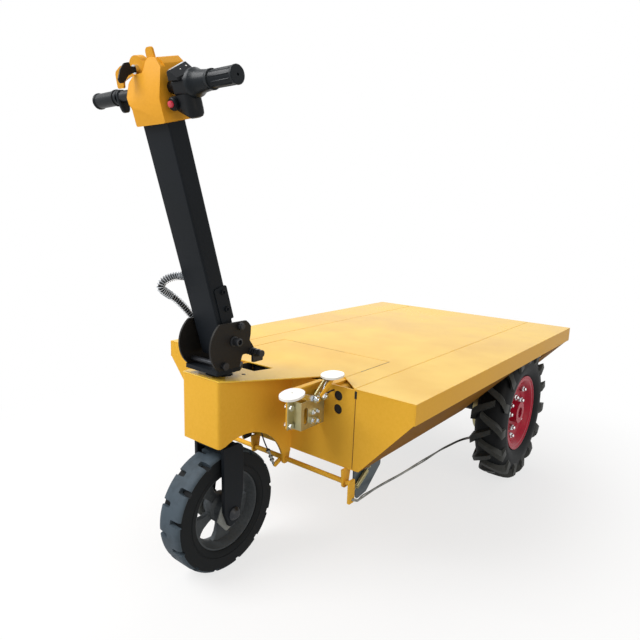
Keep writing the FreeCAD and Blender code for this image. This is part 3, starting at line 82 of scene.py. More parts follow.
def material(name, base, other, rough=(0.4, 0.5), metal=0.0, coat=0.0, scale=40.0, patch=3.0,
             bump=0.1, grain=0.0008, specular=0.5, coat_rough=0.1):
    """Procedural finish: slow patches and fine grain between two colours, varied gloss, fine bump."""
    m = bpy.data.materials.new(name)
    m.use_nodes = True
    tree = m.node_tree
    shader = tree.nodes["Principled BSDF"]
    shader.inputs["Metallic"].default_value = metal
    shader.inputs["Coat Weight"].default_value = coat
    shader.inputs["Coat Roughness"].default_value = coat_rough
    shader.inputs["Specular IOR Level"].default_value = specular
    place = tree.nodes.new("ShaderNodeTexCoord")
    slow = tree.nodes.new("ShaderNodeTexNoise")
    slow.inputs["Scale"].default_value = patch
    slow.inputs["Detail"].default_value = 4
    fine = tree.nodes.new("ShaderNodeTexNoise")
    fine.inputs["Scale"].default_value = scale
    fine.inputs["Detail"].default_value = 6
    for texture in (slow, fine):
        tree.links.new(place.outputs["Object"], texture.inputs["Vector"])
    join = tree.nodes.new("ShaderNodeMath")
    join.operation = "MULTIPLY_ADD"
    join.inputs[1].default_value = FINE_SHARE
    tree.links.new(fine.outputs["Fac"], join.inputs[0])
    share = tree.nodes.new("ShaderNodeMath")
    share.operation = "MULTIPLY"
    share.inputs[1].default_value = 1 - FINE_SHARE
    tree.links.new(slow.outputs["Fac"], share.inputs[0])
    tree.links.new(share.outputs[0], join.inputs[2])
    ramp = tree.nodes.new("ShaderNodeValToRGB")
    for stop, spot, code in zip(ramp.color_ramp.elements, (COLOUR_FROM, COLOUR_TO), (other, base)):
        stop.position = spot
        stop.color = linear(code)
    tree.links.new(join.outputs[0], ramp.inputs["Fac"])
    tree.links.new(ramp.outputs["Color"], shader.inputs["Base Color"])
    gloss = tree.nodes.new("ShaderNodeMapRange")
    for socket, value in zip(("From Min", "From Max", "To Min", "To Max"), (GLOSS_FROM, GLOSS_TO, *rough)):
        gloss.inputs[socket].default_value = value
    tree.links.new(join.outputs[0], gloss.inputs["Value"])
    tree.links.new(gloss.outputs[0], shader.inputs["Roughness"])
    relief = tree.nodes.new("ShaderNodeBump")
    relief.inputs["Strength"].default_value = bump
    relief.inputs["Distance"].default_value = grain
    tree.links.new(fine.outputs["Fac"], relief.inputs["Height"])
    tree.links.new(relief.outputs["Normal"], shader.inputs["Normal"])
    return m


finish = {
    "yellow_paint": material("yellow_paint", "E2AD3B", "DCA633", (0.32, 0.42), scale=160, bump=0.02,
                             specular=0.06),
    "black_paint": material("black_paint", "181C21", "12161A", (0.42, 0.55), scale=220, bump=0.05,
                            specular=0.1),
    "dark_steel": material("dark_steel", "34363A", "202225", (0.26, 0.4), metal=0.5, scale=120,
                           specular=0.3),
    "cast_grey": material("cast_grey", "454A4E", "2F3336", (0.5, 0.66), metal=0.1, specular=0.3, scale=180,
                          bump=0.2),
    "solid_rubber": material("solid_rubber", "444F58", "343E46", (0.55, 0.7), scale=90, patch=9,
                             bump=0.12, specular=0.2),
    "tyre_rubber": material("tyre_rubber", "3C3E3D", "2A2C2B", (0.5, 0.66), scale=70, patch=9,
                            bump=0.2, specular=0.2),
    "red_paint": material("red_paint", "B01734", "96152C", (0.28, 0.4), specular=0.2, scale=140,
                          bump=0.03),
    "bright_steel": material("bright_steel", "D5D9DC", "BDC1C4", (0.16, 0.28), metal=1, scale=150,
                             bump=0.02),
    "zinc": material("zinc", "B9AF82", "9F9A74", (0.3, 0.42), metal=0.75, scale=60, patch=9,
                     bump=0.03),
    "blue_grey": material("blue_grey", "2F3F47", "26333A", (0.35, 0.5), coat=0.2, scale=120),
    "rod_steel": material("rod_steel", "9C9D97", "6D6E6A", (0.25, 0.4), metal=0.9, scale=90, patch=20),
    "motor_grey": material("motor_grey", "3C3F41", "2D3032", (0.5, 0.6), metal=0.3, scale=90),
    "battery_black": material("battery_black", "232427", "191A1C", (0.5, 0.6), scale=120),
    "black_plastic": material("black_plastic", "14171B", "0E1114", (0.32, 0.45), scale=300,
                              bump=0.08, specular=0.16),
    "grip_rubber": material("grip_rubber", "151B20", "0F1418", (0.3, 0.42), scale=260, bump=0.1,
                            specular=0.16),
    "bar_black": material("bar_black", "15181C", "101316", (0.3, 0.4), scale=200, bump=0.03, specular=0.2),
    "red_plastic": material("red_plastic", "D8304A", "C3283F", (0.3, 0.38), coat=0.3, scale=120),
    "cable_black": material("cable_black", "17181B", "0F1012", (0.35, 0.45), scale=260, specular=0.3),
}
# painted light: a paler, yellower copy of the yellow paint for top faces, where the light falls
painted_light_top_paint = material("painted_light_top_paint", "E6BC45", "DEAE38", (0.14, 0.3), scale=9, patch=2.5, bump=0.0,
                      specular=0.13)
head_orange = material("head_orange", "DE9E2B", "D89724", (0.34, 0.44), scale=160, bump=0.02,
                       specular=0.14)
# darker rubber: on the rear tyres, painted shade on the carcass between the lugs; on the front tyre, its
# sidewalls, bore, notch floors and fine lines
darker_rubber_painted_shade = material("darker_rubber_painted_shade", "15181A", "0D0F11", (0.5, 0.65), scale=110, bump=0.1, specular=0.12)
# painted shade: near-black for the nose's inside, holes, openings and the steering parts seen through the
# slot; also the fine dark joints of the top
painted_shade_and_joint_black = material("painted_shade_and_joint_black", "08090A", "040505", (0.7, 0.85), scale=80, bump=0.05)
gauge_glass = material("gauge_glass", "C9D8E2", "A9BCC9", (0.08, 0.16), coat=0.6, scale=60)
seam_brown = material("seam_brown", "6B3A12", "4A2509", (0.5, 0.7), scale=600, patch=60, bump=0.3)
# painted reflection: near-black with a warm tint for the yellow paint mirrored in the hinge cheeks
hinge_black_painted_reflection = material("hinge_black_painted_reflection", "1F1D1B", "151413", (0.4, 0.52), scale=220, patch=6, bump=0.05,
                       specular=0.16)
seat_grey = material("seat_grey", "7E8280", "5E6260", (0.5, 0.7), scale=200, bump=0.4)
# painted shade: a dark brown copy of the yellow paint for downward faces, which lie in shade
painted_shade_under_paint = material("painted_shade_under_paint", "8C6126", "775220", (0.6, 0.7), scale=160, bump=0.02,
                       specular=0.02)
# painted reflection: white that stands in for the chrome pedal pads' reflection and for glints on the gauge
# screws
painted_reflection_white = material("painted_reflection_white", "E9E9E6", "DADAD6", (0.25, 0.35), scale=90)
wrap_grey = material("wrap_grey", "C4C9CF", "7C838B", (0.2, 0.35), scale=200)

for name, node in nodes.items():
    node.data.materials.clear()
    node.data.materials.append(finish[slot_of[name]])
nodes["head_housing"].data.materials[0] = head_orange
nodes["hinge_cheeks"].data.materials[0] = hinge_black_painted_reflection
# painted light: the nose plate takes the paler top copy of the paint
nodes["nose_plate"].data.materials[0] = painted_light_top_paint
for name in ("rear_hub_left", "rear_hub_right"):
    nodes[name].data.materials[0] = finish["red_paint"]


def repaint(node, other, chosen):
    """Gives the faces of a node that pass a test another finish."""
    mesh = nodes[node].data
    mesh.materials.append(other)
    mesh.polygons.foreach_set("material_index", [int(chosen(f)) for f in mesh.polygons])


# ------------------------------------------------------------------ building blocks

def along(direction):
    """Unit vector of a direction and two more square to it."""
    w = Vector(direction).normalized()
    u = w.orthogonal().normalized()
    return w, u, w.cross(u)


class Batch:
    """Gathers closed shapes on one body into one piece."""

    def __init__(self):
        self.points, self.faces, self.marks = [], [], []

    def add(self, points, faces, mark=0):
        """Takes in a shape; mark is the place of its finish in make's finishes."""
        start = len(self.points)
        self.points += [tuple(p) for p in points]
        self.faces += [tuple(i + start for i in f) for f in faces]
        self.marks += [mark] * len(faces)
        return self

    def make(self, name, slot_name, body, angle=32, finishes=None, instead=()):
        """The piece, smooth up to an angle; instead names the nodes that it replaces."""
        mesh = bpy.data.meshes.new(name)
        mesh.from_pydata(self.points, [], self.faces)
        mesh.polygons.foreach_set("material_index", self.marks)
        work = bmesh.new()
        work.from_mesh(mesh)
        bmesh.ops.remove_doubles(work, verts=work.verts, dist=1e-6)
        bmesh.ops.recalc_face_normals(work, faces=work.faces)
        work.to_mesh(mesh)
        work.free()
        mesh.polygons.foreach_set("use_smooth", [True] * len(mesh.polygons))
        mesh.set_sharp_from_angle(angle=math.radians(angle))
        for m in finishes or (finish[slot_name],):
            mesh.materials.append(m)
        piece = bpy.data.objects.new(name, mesh)
        bpy.context.scene.collection.objects.link(piece)
        if body:
            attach(piece, body)
        if instead:
            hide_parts(*instead)
        return piece


def rings(rows, closed=False):
    """A skin over equally long rows of points: its ends are capped, or joined if it is closed."""
    count, size = len(rows), len(rows[0])
    faces = []
    for i in range(count if closed else count - 1):
        j = (i + 1) % count
        for k in range(size):
            n = (k + 1) % size
            faces.append((i * size + k, i * size + n, j * size + n, j * size + k))
    if not closed:
        faces += [tuple(range(size)), tuple(range((count - 1) * size, count * size))]
    return [p for row in rows for p in row], faces


def turned(profile, origin, axis, steps=32, ring=False):
    """A profile of (distance along the axis, radius) turned about it; a ring's profile is a loop."""
    w, u, v = along(axis)
    origin = Vector(origin)
    rows = []
    for far, radius in profile:
        rows.append([origin + far * w + radius * (math.cos(2 * math.pi * k / steps) * u
                                                  + math.sin(2 * math.pi * k / steps) * v)
                     for k in range(steps)])
    return rings(rows, ring)


def prism(outline, place, low, high, edge=0.0):
    """An outline of (a, b) drawn out between two depths, its ends chamfered by edge.

    place(a, b, depth) gives the point.
    """
    middle = [sum(p[i] for p in outline) / len(outline) for i in (0, 1)]

    def shrunk(by):
        """The outline drawn in towards its middle."""
        result = []
        for a, b in outline:
            away = math.hypot(a - middle[0], b - middle[1])
            scale = 1 - by / away
            result.append((middle[0] + (a - middle[0]) * scale, middle[1] + (b - middle[1]) * scale))
        return result

    rows = [(outline, low), (outline, high)]
    if edge:
        rows = [(shrunk(edge), low), (outline, low + edge), (outline, high - edge), (shrunk(edge), high)]
    return rings([[place(a, b, depth) for a, b in line] for line, depth in rows])


def rounded(corners, steps=5):
    """Corners (a, b, radius) as an outline with arcs."""
    result = []
    for i, (a, b, radius) in enumerate(corners):
        here = Vector((a, b))
        back = Vector(corners[i - 1][:2]) - here
        ahead = Vector(corners[(i + 1) % len(corners)][:2]) - here
        half = back.angle(ahead) / 2
        reach = min(radius / math.tan(half), 0.49 * back.length, 0.49 * ahead.length)
        back, ahead = back.normalized(), ahead.normalized()
        if reach < 1e-5:
            result.append((a, b))
            continue
        bend = reach * math.tan(half)
        heart = here + (back + ahead).normalized() * (bend / math.sin(half))
        start, end = here + back * reach - heart, here + ahead * reach - heart
        whole = start.angle_signed(end)
        for k in range(steps + 1):
            turn = -whole * k / steps
            result.append((heart.x + start.x * math.cos(turn) - start.y * math.sin(turn),
                           heart.y + start.x * math.sin(turn) + start.y * math.cos(turn)))
    return result


def nut(origin, axis, across, height, turn=0.0):
    """Hexagon nut with chamfered corners."""
    w, u, v = along(axis)
    origin = Vector(origin)
    wide = across / math.sqrt(3)
    rows = []
    for far, radius in ((0, wide), (height * 0.8, wide), (height, wide * 0.86)):
        rows.append([origin + far * w + radius * (math.cos(turn + math.pi * k / 3) * u
                                                  + math.sin(turn + math.pi * k / 3) * v)
                     for k in range(6)])
    return rings(rows)


def soften(name, width=0.0012, segments=2, angle=35):
    """Rounds the edges of a CAD node where it is drawn, its own vertices left as they are."""
    node = nodes[name]
    if "custom_normal" in node.data.attributes:
        node.data.attributes.remove(node.data.attributes["custom_normal"])
    weld = node.modifiers.new("weld", "WELD")
    weld.merge_threshold = 1e-6
    flat = node.modifiers.new("flat", "DECIMATE")
    flat.decimate_type = "DISSOLVE"
    flat.angle_limit = math.radians(0.6)
    flat.delimit = {"MATERIAL"}
    edge = node.modifiers.new("edge", "BEVEL")
    edge.width, edge.segments = width, segments
    edge.limit_method, edge.angle_limit = "ANGLE", math.radians(angle)
    edge.harden_normals = True
    node.data.polygons.foreach_set("use_smooth", [True] * len(node.data.polygons))


def chassis(x, y, z):
    """Point from millimetres: across, behind the front axle, above the floor."""
    return Vector((x / 1000, FRONT + y / 1000, z / 1000))


def facing_side(a, b, depth):
    """Place for a prism whose outline is seen from the side."""
    return chassis(depth, a, b)


def facing_front(a, b, depth):
    """Place for a prism whose outline is seen from the front."""
    return chassis(a, depth, b)


PIVOT = centre("pivot_bolt")
LEAN = math.radians(16.5)            # how far the column leans back at rest


def column(x, n, s):
    """Point from millimetres in the column: across, forward of its middle, up from the pivot."""
    ahead = Vector((0, -math.cos(LEAN), -math.sin(LEAN)))
    up = Vector((0, -math.sin(LEAN), math.cos(LEAN)))
    return Vector((x / 1000, PIVOT.y, PIVOT.z)) + ahead * (n / 1000) + up * (s / 1000)


BAR_N, BAR_S = -3, 499               # the handlebar's line in the column


# ------------------------------------------------------------------ wheels

def on_wheel(heart, x, radius, angle):
    """Point of a wheel: along its axle, out from it, and round from its front upwards in degrees."""
    turn = math.radians(angle)
    return (heart.x + x, heart.y - radius * math.cos(turn), heart.z + radius * math.sin(turn))


def front_tyre():
    """Solid tyre: thirteen round-ended notches in each shoulder and a fine line from each to a ring."""
    low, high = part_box("front_tyre")
    heart, half, outer = (low + high) / 2, (high.x - low.x) / 2, (high.z - low.z) / 2
    notches = 13
    pitch = 360 / notches
    first_notch = {1: 9.1, -1: -5.2}     # degrees, by side
    notch_floor, notch_half = outer - 0.0102, 0.0063
    notch_end, end_reach, end_half = 0.0052, 0.0055, 0.0062     # the notch's round end towards the middle
    line_half, line_depth, line_inner, line_outer = 0.0006, 0.0008, 0.108, outer - 0.009
    sidewall_last = 9                    # last point of the profile that belongs to the sidewall
    profile = [(half - 0.004, 0.0922), (half - 0.0005, 0.0962), (half, 0.1045), (half - 0.0012, 0.1055),
               (half - 0.0012, 0.1075), (half, 0.1085), (half, 0.118), (half, outer - 0.0105),
               (half, outer - 0.0098), (half, outer - 0.0062), (half - 0.0012, outer - 0.0038),
               (half - 0.0042, outer - 0.0016), (half - 0.009, outer - 0.0005), (0.021, outer),
               (0.0165, outer), (0.0105, outer), (0.0078, outer), (0.0062, outer), (0.0052, outer)]
    # where the rows stand, in shares of a pitch from a notch's middle: closest at its edges
    near = [0.012, 0.048, 0.078, 0.091, 0.098, 0.15, 0.24, 0.36]
    steps = [-0.5, *(-t for t in near), *near]
    angles = sorted({round((first + (k + t) * pitch) % 360, 3)
                     for first in first_notch.values() for k in range(notches) for t in steps})

    def cut(x, radius, from_notch):
        """A point of the profile, lowered into a notch or a line where it lies in one."""
        rise = math.sqrt(max(0, 1 - (from_notch / end_half) ** 2))
        if from_notch < notch_half and x >= notch_end + end_reach * (1 - rise):
            radius = min(radius, notch_floor)
        if from_notch < line_half and line_inner < radius < line_outer and x > half - 0.001:
            x -= line_depth
        return x, radius

    rows = []
    for angle in angles:
        row = []
        for side, first in first_notch.items():
            away = ((angle - first) / pitch + 0.5) % 1 - 0.5
            from_notch = abs(away) * math.radians(pitch) * outer
            line = [cut(x, radius, from_notch) for x, radius in profile]
            line = [(x * side, radius) for x, radius in line]
            row += line if side == 1 else line[::-1]
        rows.append([on_wheel(heart, x, radius, angle) for x, radius in row])
    points, faces = rings(rows, True)
    size = len(rows[0])
    marks = []
    for f in faces:
        spots = {i % size for i in f}
        reach = max(math.hypot(points[i][1] - heart.y, points[i][2] - heart.z) for i in f)
        on_side = max(min(i, size - 1 - i) for i in spots) <= sidewall_last and min(spots) != 0
        in_bore = spots == {0, size - 1}
        # mark 1 takes the darker rubber: sidewalls, bore, notch floors and fine lines
        marks.append(int(on_side or in_bore or reach < line_outer))
    tyre = Batch()
    tyre.points, tyre.faces, tyre.marks = [tuple(p) for p in points], faces, marks
    tyre.make("front_tyre_rubber", "solid_rubber", "front_wheel", 40,
              (finish["solid_rubber"], darker_rubber_painted_shade), ("front_tyre",))


def rear_tyre(side, name):
    """Carcass with fifteen slanting lugs on each half that pass the middle line."""
    low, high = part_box(f"rear_tyre_{name}")
    heart, half, outer = (low + high) / 2, (high.x - low.x) / 2, (high.z - low.z) / 2
    wall = [(0.032, 0.1062), (0.0325, 0.119), (0.0385, 0.1255), (0.0395, 0.1275), (0.0445, 0.137),
            (half - 0.0028, 0.150), (half - 0.0028, 0.154), (half - 0.0035, 0.158), (half - 0.005, 0.168),
            (half - 0.0075, 0.178), (half - 0.012, 0.187), (half - 0.019, 0.1932), (0.022, 0.1965),
            (0.008, 0.198)]
    loop = wall + [(-x, radius) for x, radius in wall[::-1]]
    around = 96
    tyre = Batch()
    carcass = [[on_wheel(heart, x, radius, 360 * k / around) for k in range(around)] for x, radius in loop]
    # the carcass takes the darker rubber: painted shade between the lugs, whose tops stay lighter
    tyre.add(*rings(carcass, True), 1)
    lugs, slant = 15, 14.5               # slant in degrees round the tyre
    top_narrow, top_widening, foot_more = 0.0074, 0.0046, 0.0028    # half widths of a lug
    # a lug from past the middle line to the shoulder: its top's (x, radius) and its foot's
    path = [(-0.017, outer, -0.017, 0.196), (-0.004, outer, -0.004, 0.196), (0.012, outer, 0.012, 0.195),
            (0.028, outer - 0.0008, 0.027, 0.190), (0.039, outer - 0.003, 0.034, 0.186),
            (0.046, outer - 0.0075, 0.037, 0.181), (half - 0.0002, outer - 0.013, 0.04, 0.175),
            (half, outer - 0.025, 0.0425, 0.168), (half, outer - 0.043, 0.0445, 0.160)]
    last_turning = 6                     # place in the path where the lug stops slanting and widening
    for half_side in (1, -1):
        first_lug = 9.7 if half_side * side > 0 else -2.3
        for k in range(lugs):
            rows = []
            for i, (x, radius, x_in, radius_in) in enumerate(path):
                t = min(1, i / last_turning)
                angle = first_lug + 360 / lugs * k - slant * t
                wide = top_narrow + top_widening * t
                top, foot = math.degrees(wide / radius), math.degrees((wide + foot_more) / radius_in)
                rows.append([on_wheel(heart, half_side * x, radius, angle + top),
                             on_wheel(heart, half_side * x, radius, angle - top),
                             on_wheel(heart, half_side * x_in, radius_in, angle - foot),
                             on_wheel(heart, half_side * x_in, radius_in, angle + foot)])
            tyre.add(*rings(rows))
    tyre.make(f"rear_tyre_{name}_rubber", "tyre_rubber", f"rear_wheel_{name}", 40,
              (finish["tyre_rubber"], darker_rubber_painted_shade), (f"rear_tyre_{name}",))


def rear_rim(side, name):
    """Pressed red rim with its dished disc, five wheel nuts and three joint bolts."""
    heart, body = centre(f"rear_tyre_{name}"), f"rear_wheel_{name}"
    red = Batch()
    loop = [(0.037, 0.119), (0.037, 0.1155), (0.0345, 0.1115), (0.0345, 0.1045), (0.031, 0.1), (0.029, 0.098),
            (0.021, 0.094), (0.017, 0.089), (0.0155, 0.074), (0.0125, 0.07), (0.0105, 0.068), (0.0105, 0.04),
            (0.0045, 0.04), (0.0045, 0.07), (0.01, 0.093), (0.016, 0.1015), (-0.037, 0.1015),
            (-0.037, 0.119), (-0.033, 0.119), (-0.033, 0.1058), (0.033, 0.1058), (0.033, 0.119)]
    red.add(*turned(loop, heart, (side, 0, 0), 96, True))
    red.make(f"rear_rim_{name}_red", "red_paint", body, instead=(f"rear_rim_{name}",))
    steel = Batch()
    wheel_nuts = [(4 + 72 * k, 0.052, 0.019, 0.0105) for k in range(5)]
    joint_bolts = [(30 + 90 * k, 0.078, 0.017, 0.0155) for k in (0, 1, 3)]
    for angle, radius, across, out_by in wheel_nuts + joint_bolts:
        spot = on_wheel(heart, side * out_by, radius, angle)
        steel.add(*nut(spot, (side, 0, 0), across, 0.011, math.radians(angle)))
        steel.add(*turned([(0, across * 0.3), (0.016, across * 0.3), (0.018, across * 0.22)], spot,
                          (side, 0, 0), 12))
    steel.make(f"rear_nuts_{name}", "bright_steel", body)


def front_rim():
    """Cast wheel: a barrel that narrows inward, a hub and five wide spokes."""
    heart = centre("front_rim")
    cast = Batch()
    barrel = [(0.028, 0.0921), (0.028, 0.0885), (0.024, 0.086), (0.009, 0.0805), (0.006, 0.079),
              (-0.006, 0.079), (-0.009, 0.0805), (-0.024, 0.086), (-0.028, 0.0885), (-0.028, 0.0921)]
    cast.add(*turned(barrel, heart, (1, 0, 0), 96, True))
    hub = [(0.03, 0.0083), (0.03, 0.0225), (0.0285, 0.024), (0.014, 0.0275), (0.0085, 0.034),
           (-0.0085, 0.034), (-0.014, 0.0275), (-0.0285, 0.024), (-0.03, 0.0225), (-0.03, 0.0083)]
    cast.add(*turned(hub, heart, (1, 0, 0), 64, True))
    spokes, first_spoke, spoke_half = 5, -19, 0.0065
    edge = [(0.0295, 0.0085), (0.043, 0.0105), (0.06, 0.0155), (0.07, 0.0215), (0.0745, 0.0265),
            (0.0795, 0.034)]
    outline = [(r, -w) for r, w in edge] + [(r, w) for r, w in edge[::-1]]
    for k in range(spokes):
        angle = math.radians(first_spoke + 360 / spokes * k)

        def place(r, across, depth):
            return (heart.x + depth, heart.y - r * math.cos(angle) + across * math.sin(angle),
                    heart.z + r * math.sin(angle) + across * math.cos(angle))

        cast.add(*prism(outline, place, -spoke_half, spoke_half, 0.0015))
    cast.make("front_rim_cast", "cast_grey", "front_wheel", 30, instead=("front_rim",))


def fork_seats():
    """Pale cast seats round the axle's ends, behind the fork's feet."""
    heart = centre("front_rim")
    seats = Batch()
    corners = ((0.034, 40), (0.041, -14), (0.044, -72), (0.036, -130), (0.03, 140))
    outline = rounded([(-math.cos(math.radians(a)) * r, math.sin(math.radians(a)) * r, 0.003)
                       for r, a in corners])
    for side in (-1, 1):
        seats.add(*prism(outline, lambda a, b, depth: (heart.x + side * depth, heart.y + a, heart.z + b),
                         0.0352, 0.0397, 0.001))
    seats.make("fork_seats", "cast_grey", "steering", finishes=(seat_grey,))


front_tyre()
front_rim()
fork_seats()
for wheel_side, wheel_name in ((1, "left"), (-1, "right")):
    rear_tyre(wheel_side, wheel_name)
    rear_rim(wheel_side, wheel_name)


# ------------------------------------------------------------------ column, head and cables

def spline(points, samples=10):
    """Points read from the NURBS spline that has these as its control points."""
    data = bpy.data.curves.new("line", "CURVE")
    data.dimensions = "3D"
    line = data.splines.new("NURBS")
    line.points.add(len(points) - 1)
    for spot, place in zip(line.points, points):
        spot.co = (*place, 1)
    line.order_u = 3
    line.use_endpoint_u = True
    line.resolution_u = samples
    shape = bpy.data.objects.new("line", data)
    bpy.context.scene.collection.objects.link(shape)
    bpy.context.view_layer.update()
    mesh = bpy.data.meshes.new_from_object(shape.evaluated_get(bpy.context.evaluated_depsgraph_get()))
    found = [v.co.copy() for v in mesh.vertices]
    bpy.data.objects.remove(shape)
    bpy.data.meshes.remove(mesh)
    return found


def frames(points):
    """Each point with two unit vectors square to the line there, carried along without twist."""
    u = along(points[1] - points[0])[1]
    result = []
    for i, p in enumerate(points):
        w = (points[min(i + 1, len(points) - 1)] - points[max(i - 1, 0)]).normalized()
        u = (u - w * u.dot(w)).normalized()
        result.append((p, u, w.cross(u)))
    return result


def swept(points, radius, sides=8):
    """A tube along points."""
    return rings([[p + radius * (math.cos(2 * math.pi * k / sides) * u
                                 + math.sin(2 * math.pi * k / sides) * v)
                   for k in range(sides)] for p, u, v in frames(points)])


def wound(points, reach, pitch, steps):
    """Points of a helix about a line, with so many steps to a turn."""
    line = frames(points)
    travelled = [0.0]
    for a, b in zip(points, points[1:]):
        travelled.append(travelled[-1] + (b - a).length)
    result = []
    count = int(travelled[-1] / pitch * steps)
    i = 0
    for k in range(count + 1):
        far = min(k * pitch / steps, travelled[-1] - 1e-9)
        while travelled[i + 1] < far:
            i += 1
        t = (far - travelled[i]) / (travelled[i + 1] - travelled[i])
        p, u, v = (a.lerp(b, t) for a, b in zip(line[i], line[i + 1]))
        turn = 2 * math.pi * k / steps
        result.append(p + reach * (math.cos(turn) * u.normalized() + math.sin(turn) * v.normalized()))
    return result


def loom():
    """A black conduit in a pale spiral wrap, from the column's side to the gland on the hinge base."""
    route = [(-36, -50, 673), (-55, -51, 673), (-67, -66, 672), (-76, -86, 663), (-80, -92, 648),
             (-80, -76, 636), (-82, -52, 622), (-84, -30, 603), (-84, -9, 580), (-80, 7, 558),
             (-76, 19, 540), (-74, 27, 521), (-72, 30, 508), (-72, 30, 494)]
    line = spline([chassis(*p) for p in route], 8)
    core, wrap = Batch(), Batch()
    core.add(*swept(line, 0.0058, 14))
    thick_share = 0.42                   # share of the line with the thicker, closer wrap
    change = int(len(line) * thick_share)
    wrap.add(*swept(wound(line[:change + 1], 0.0084, 0.0048, 14), 0.0011, 5))
    wrap.add(*swept(wound(line[change:], 0.008, 0.0066, 14), 0.0006, 5))
    for batch, name, finishes, instead in ((core, "wiring_loom_cable", None, ("wiring_loom",)),
                                           (wrap, "wiring_loom_wrap", (wrap_grey,), ())):
        piece = batch.make(name, slot_of["wiring_loom"], None, 50, finishes, instead)
        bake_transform(piece)


def spring():
    """Coil spring with its end hooks and the pins that hold them; millimetres along its slanting line."""
    lean = math.radians(122.6)
    bracket_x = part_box("spring_bracket")[1].x
    origin = Vector((bracket_x + 0.005, FRONT + 0.252, 0.228))
    down = Vector((0, -math.sin(lean), math.cos(lean)))
    across, side = Vector((1, 0, 0)), Vector((0, math.cos(lean), math.sin(lean)))
    turns, steps, coil, coil_from, coil_length = 17, 10, 5, 12, 48
    path = [(0, 0, -3), (0, 0, 6), (0, 0, 11)]
    for k in range(turns * steps + 1):
        angle = 2 * math.pi * k / steps
        path.append((coil * math.cos(angle), coil * math.sin(angle),
                     coil_from + coil_length * k / (turns * steps)))
    path += [(0, 0, 61), (0, 0, 70), (0, 0, 88)]
    points = [origin + across * (a / 1000) + side * (b / 1000) + down * (c / 1000) for a, b, c in path]
    Batch().add(*swept(points, 0.0013, 6)).make("return_spring_coil", slot_of["return_spring"], "chassis",
                                                50, instead=("return_spring",))
    pins, pin = Batch(), 0.0022
    for far, start, length in ((0, -5, 8), (86, 0, 7)):
        spot = origin + down * (far / 1000) + across * (start / 1000)
        pins.add(*turned([(0, pin), (length / 1000, pin)], spot, (1, 0, 0), 10))
    pins.make("return_spring_pins", slot_of["return_spring"], "chassis")


def grips():
    """Left twist grip with its flared flange and ribbed sleeve; right grip with its paddle."""
    def bar(x, up=0.0, ahead=0.0):
        """Point on the handlebar's line, or beside it."""
        return column(x, BAR_N + ahead, BAR_S + up)

    left = Batch()
    loop = [(104, 22.5), (105.5, 24), (112, 24), (114, 23), (119, 20.2), (124, 18.8), (134, 17.6),
            (146, 16.4), (147, 17), (153, 17), (153.5, 14.6), (154.5, 14), (206, 14), (207, 15.2),
            (208, 15.5), (211, 15.5), (212, 14.6), (212, 2.2), (209.5, 2.2), (209.5, 0.5)]
    left.add(*turned([(x / 1000, r / 1000) for x, r in loop], bar(0), (1, 0, 0), 48))
    ribs, rib_out = 10, 13.6
    for k in range(ribs):
        angle = 2 * math.pi * k / ribs
        left.add(*turned([(0.157, 0.0008), (0.158, 0.0014), (0.203, 0.0014), (0.204, 0.0008)],
                         bar(0, rib_out * math.cos(angle), rib_out * math.sin(angle)), (1, 0, 0), 8))
    left.make("left_grip_sleeve", slot_of["left_grip"], "column", instead=("left_grip",))

    right = Batch()
    loop = [(118, 14), (190, 14), (191, 15.2), (192, 15.6), (195.5, 15.6), (197, 14.4), (197, 2),
            (194.5, 2), (194.5, 0.5)]
    right.add(*turned([(x / 1000, r / 1000) for x, r in loop], bar(0), (-1, 0, 0), 48))
    right.add(*turned([(0.127, 0.0145), (0.1275, 0.0155), (0.132, 0.0155), (0.1325, 0.0145)],
                      bar(0), (-1, 0, 0), 48))
    paddle = rounded([(-7, -29, 7), (7.5, -29, 7), (13, -8, 14), (12.5, 13, 11), (-12.5, 13, 11),
                      (-12, -8, 14)], 6)
    right.add(*prism(paddle, lambda a, b, depth: column(depth, BAR_N - a, BAR_S + b), -118, -109, 2.2))
    right.make("right_grip_sleeve", slot_of["right_grip"], "column", instead=("right_grip",))


def drive_control():
    """Clamp with the wedge of the battery gauge, its pale window and two screws."""
    shape = Batch()
    outline = rounded([(-15, -16, 6), (21, -16, 6), (22, 13, 9), (-16, 13, 9)])
    shape.add(*prism(outline, lambda a, b, depth: column(depth, -a, BAR_S + b), 67, 104, 1.2))
    front = [(67.0, 508), (67.0, 522), (69, 524), (74, 524), (93, 511), (94, 506)]
    rear = [(67.0, 512), (67.0, 533), (69, 535.5), (74, 535.5), (92, 521), (96, 512)]
    edge, half_size = 1.2, 14            # chamfer of the wedge's ends, and about half its size
    rows = []
    for n, line, inset in ((21, front, edge), (19.8, front, 0), (-20, rear, 0), (-21.2, rear, edge)):
        heart = [sum(p[i] for p in line) / len(line) for i in (0, 1)]
        rows.append([column(x + (heart[0] - x) * inset / half_size, n, s + (heart[1] - s) * inset / half_size)
                     for x, s in line])
    shape.add(*rings(rows))
    shape.make("drive_control", slot_of["throttle_housing"], "column", 30, instead=("throttle_housing",))
    window = Batch()
    base = [column(x, n, s) for x, n, s in ((68.6, 17, 524.6), (74.2, 17, 524.4), (74.2, -17.5, 534.8),
                                            (68.6, -17.5, 535.2))]
    thick = 0.6
    rise = [p + (column(0, 0, 1) - column(0, 0, 0)) * thick for p in base]
    window.add(*rings([base, rise]))
    window.make("gauge_window", slot_of["throttle_housing"], "column", finishes=(gauge_glass,))
    screws = Batch()
    out = (column(1, 0, 1.3) - column(0, 0, 0)).normalized()
    sunk = 0.0001
    for n, s in ((-14, 527.8), (-0.5, 523.5)):
        screws.add(*turned([(0, 0.0017), (0.0008, 0.0017), (0.0012, 0.0012)],
                           column(80.2, n, s) - out * sunk, out, 12))
    # painted glints: the steel screw heads are painted white
    screws.make("gauge_screws", "bright_steel", "column", finishes=(painted_reflection_white,))


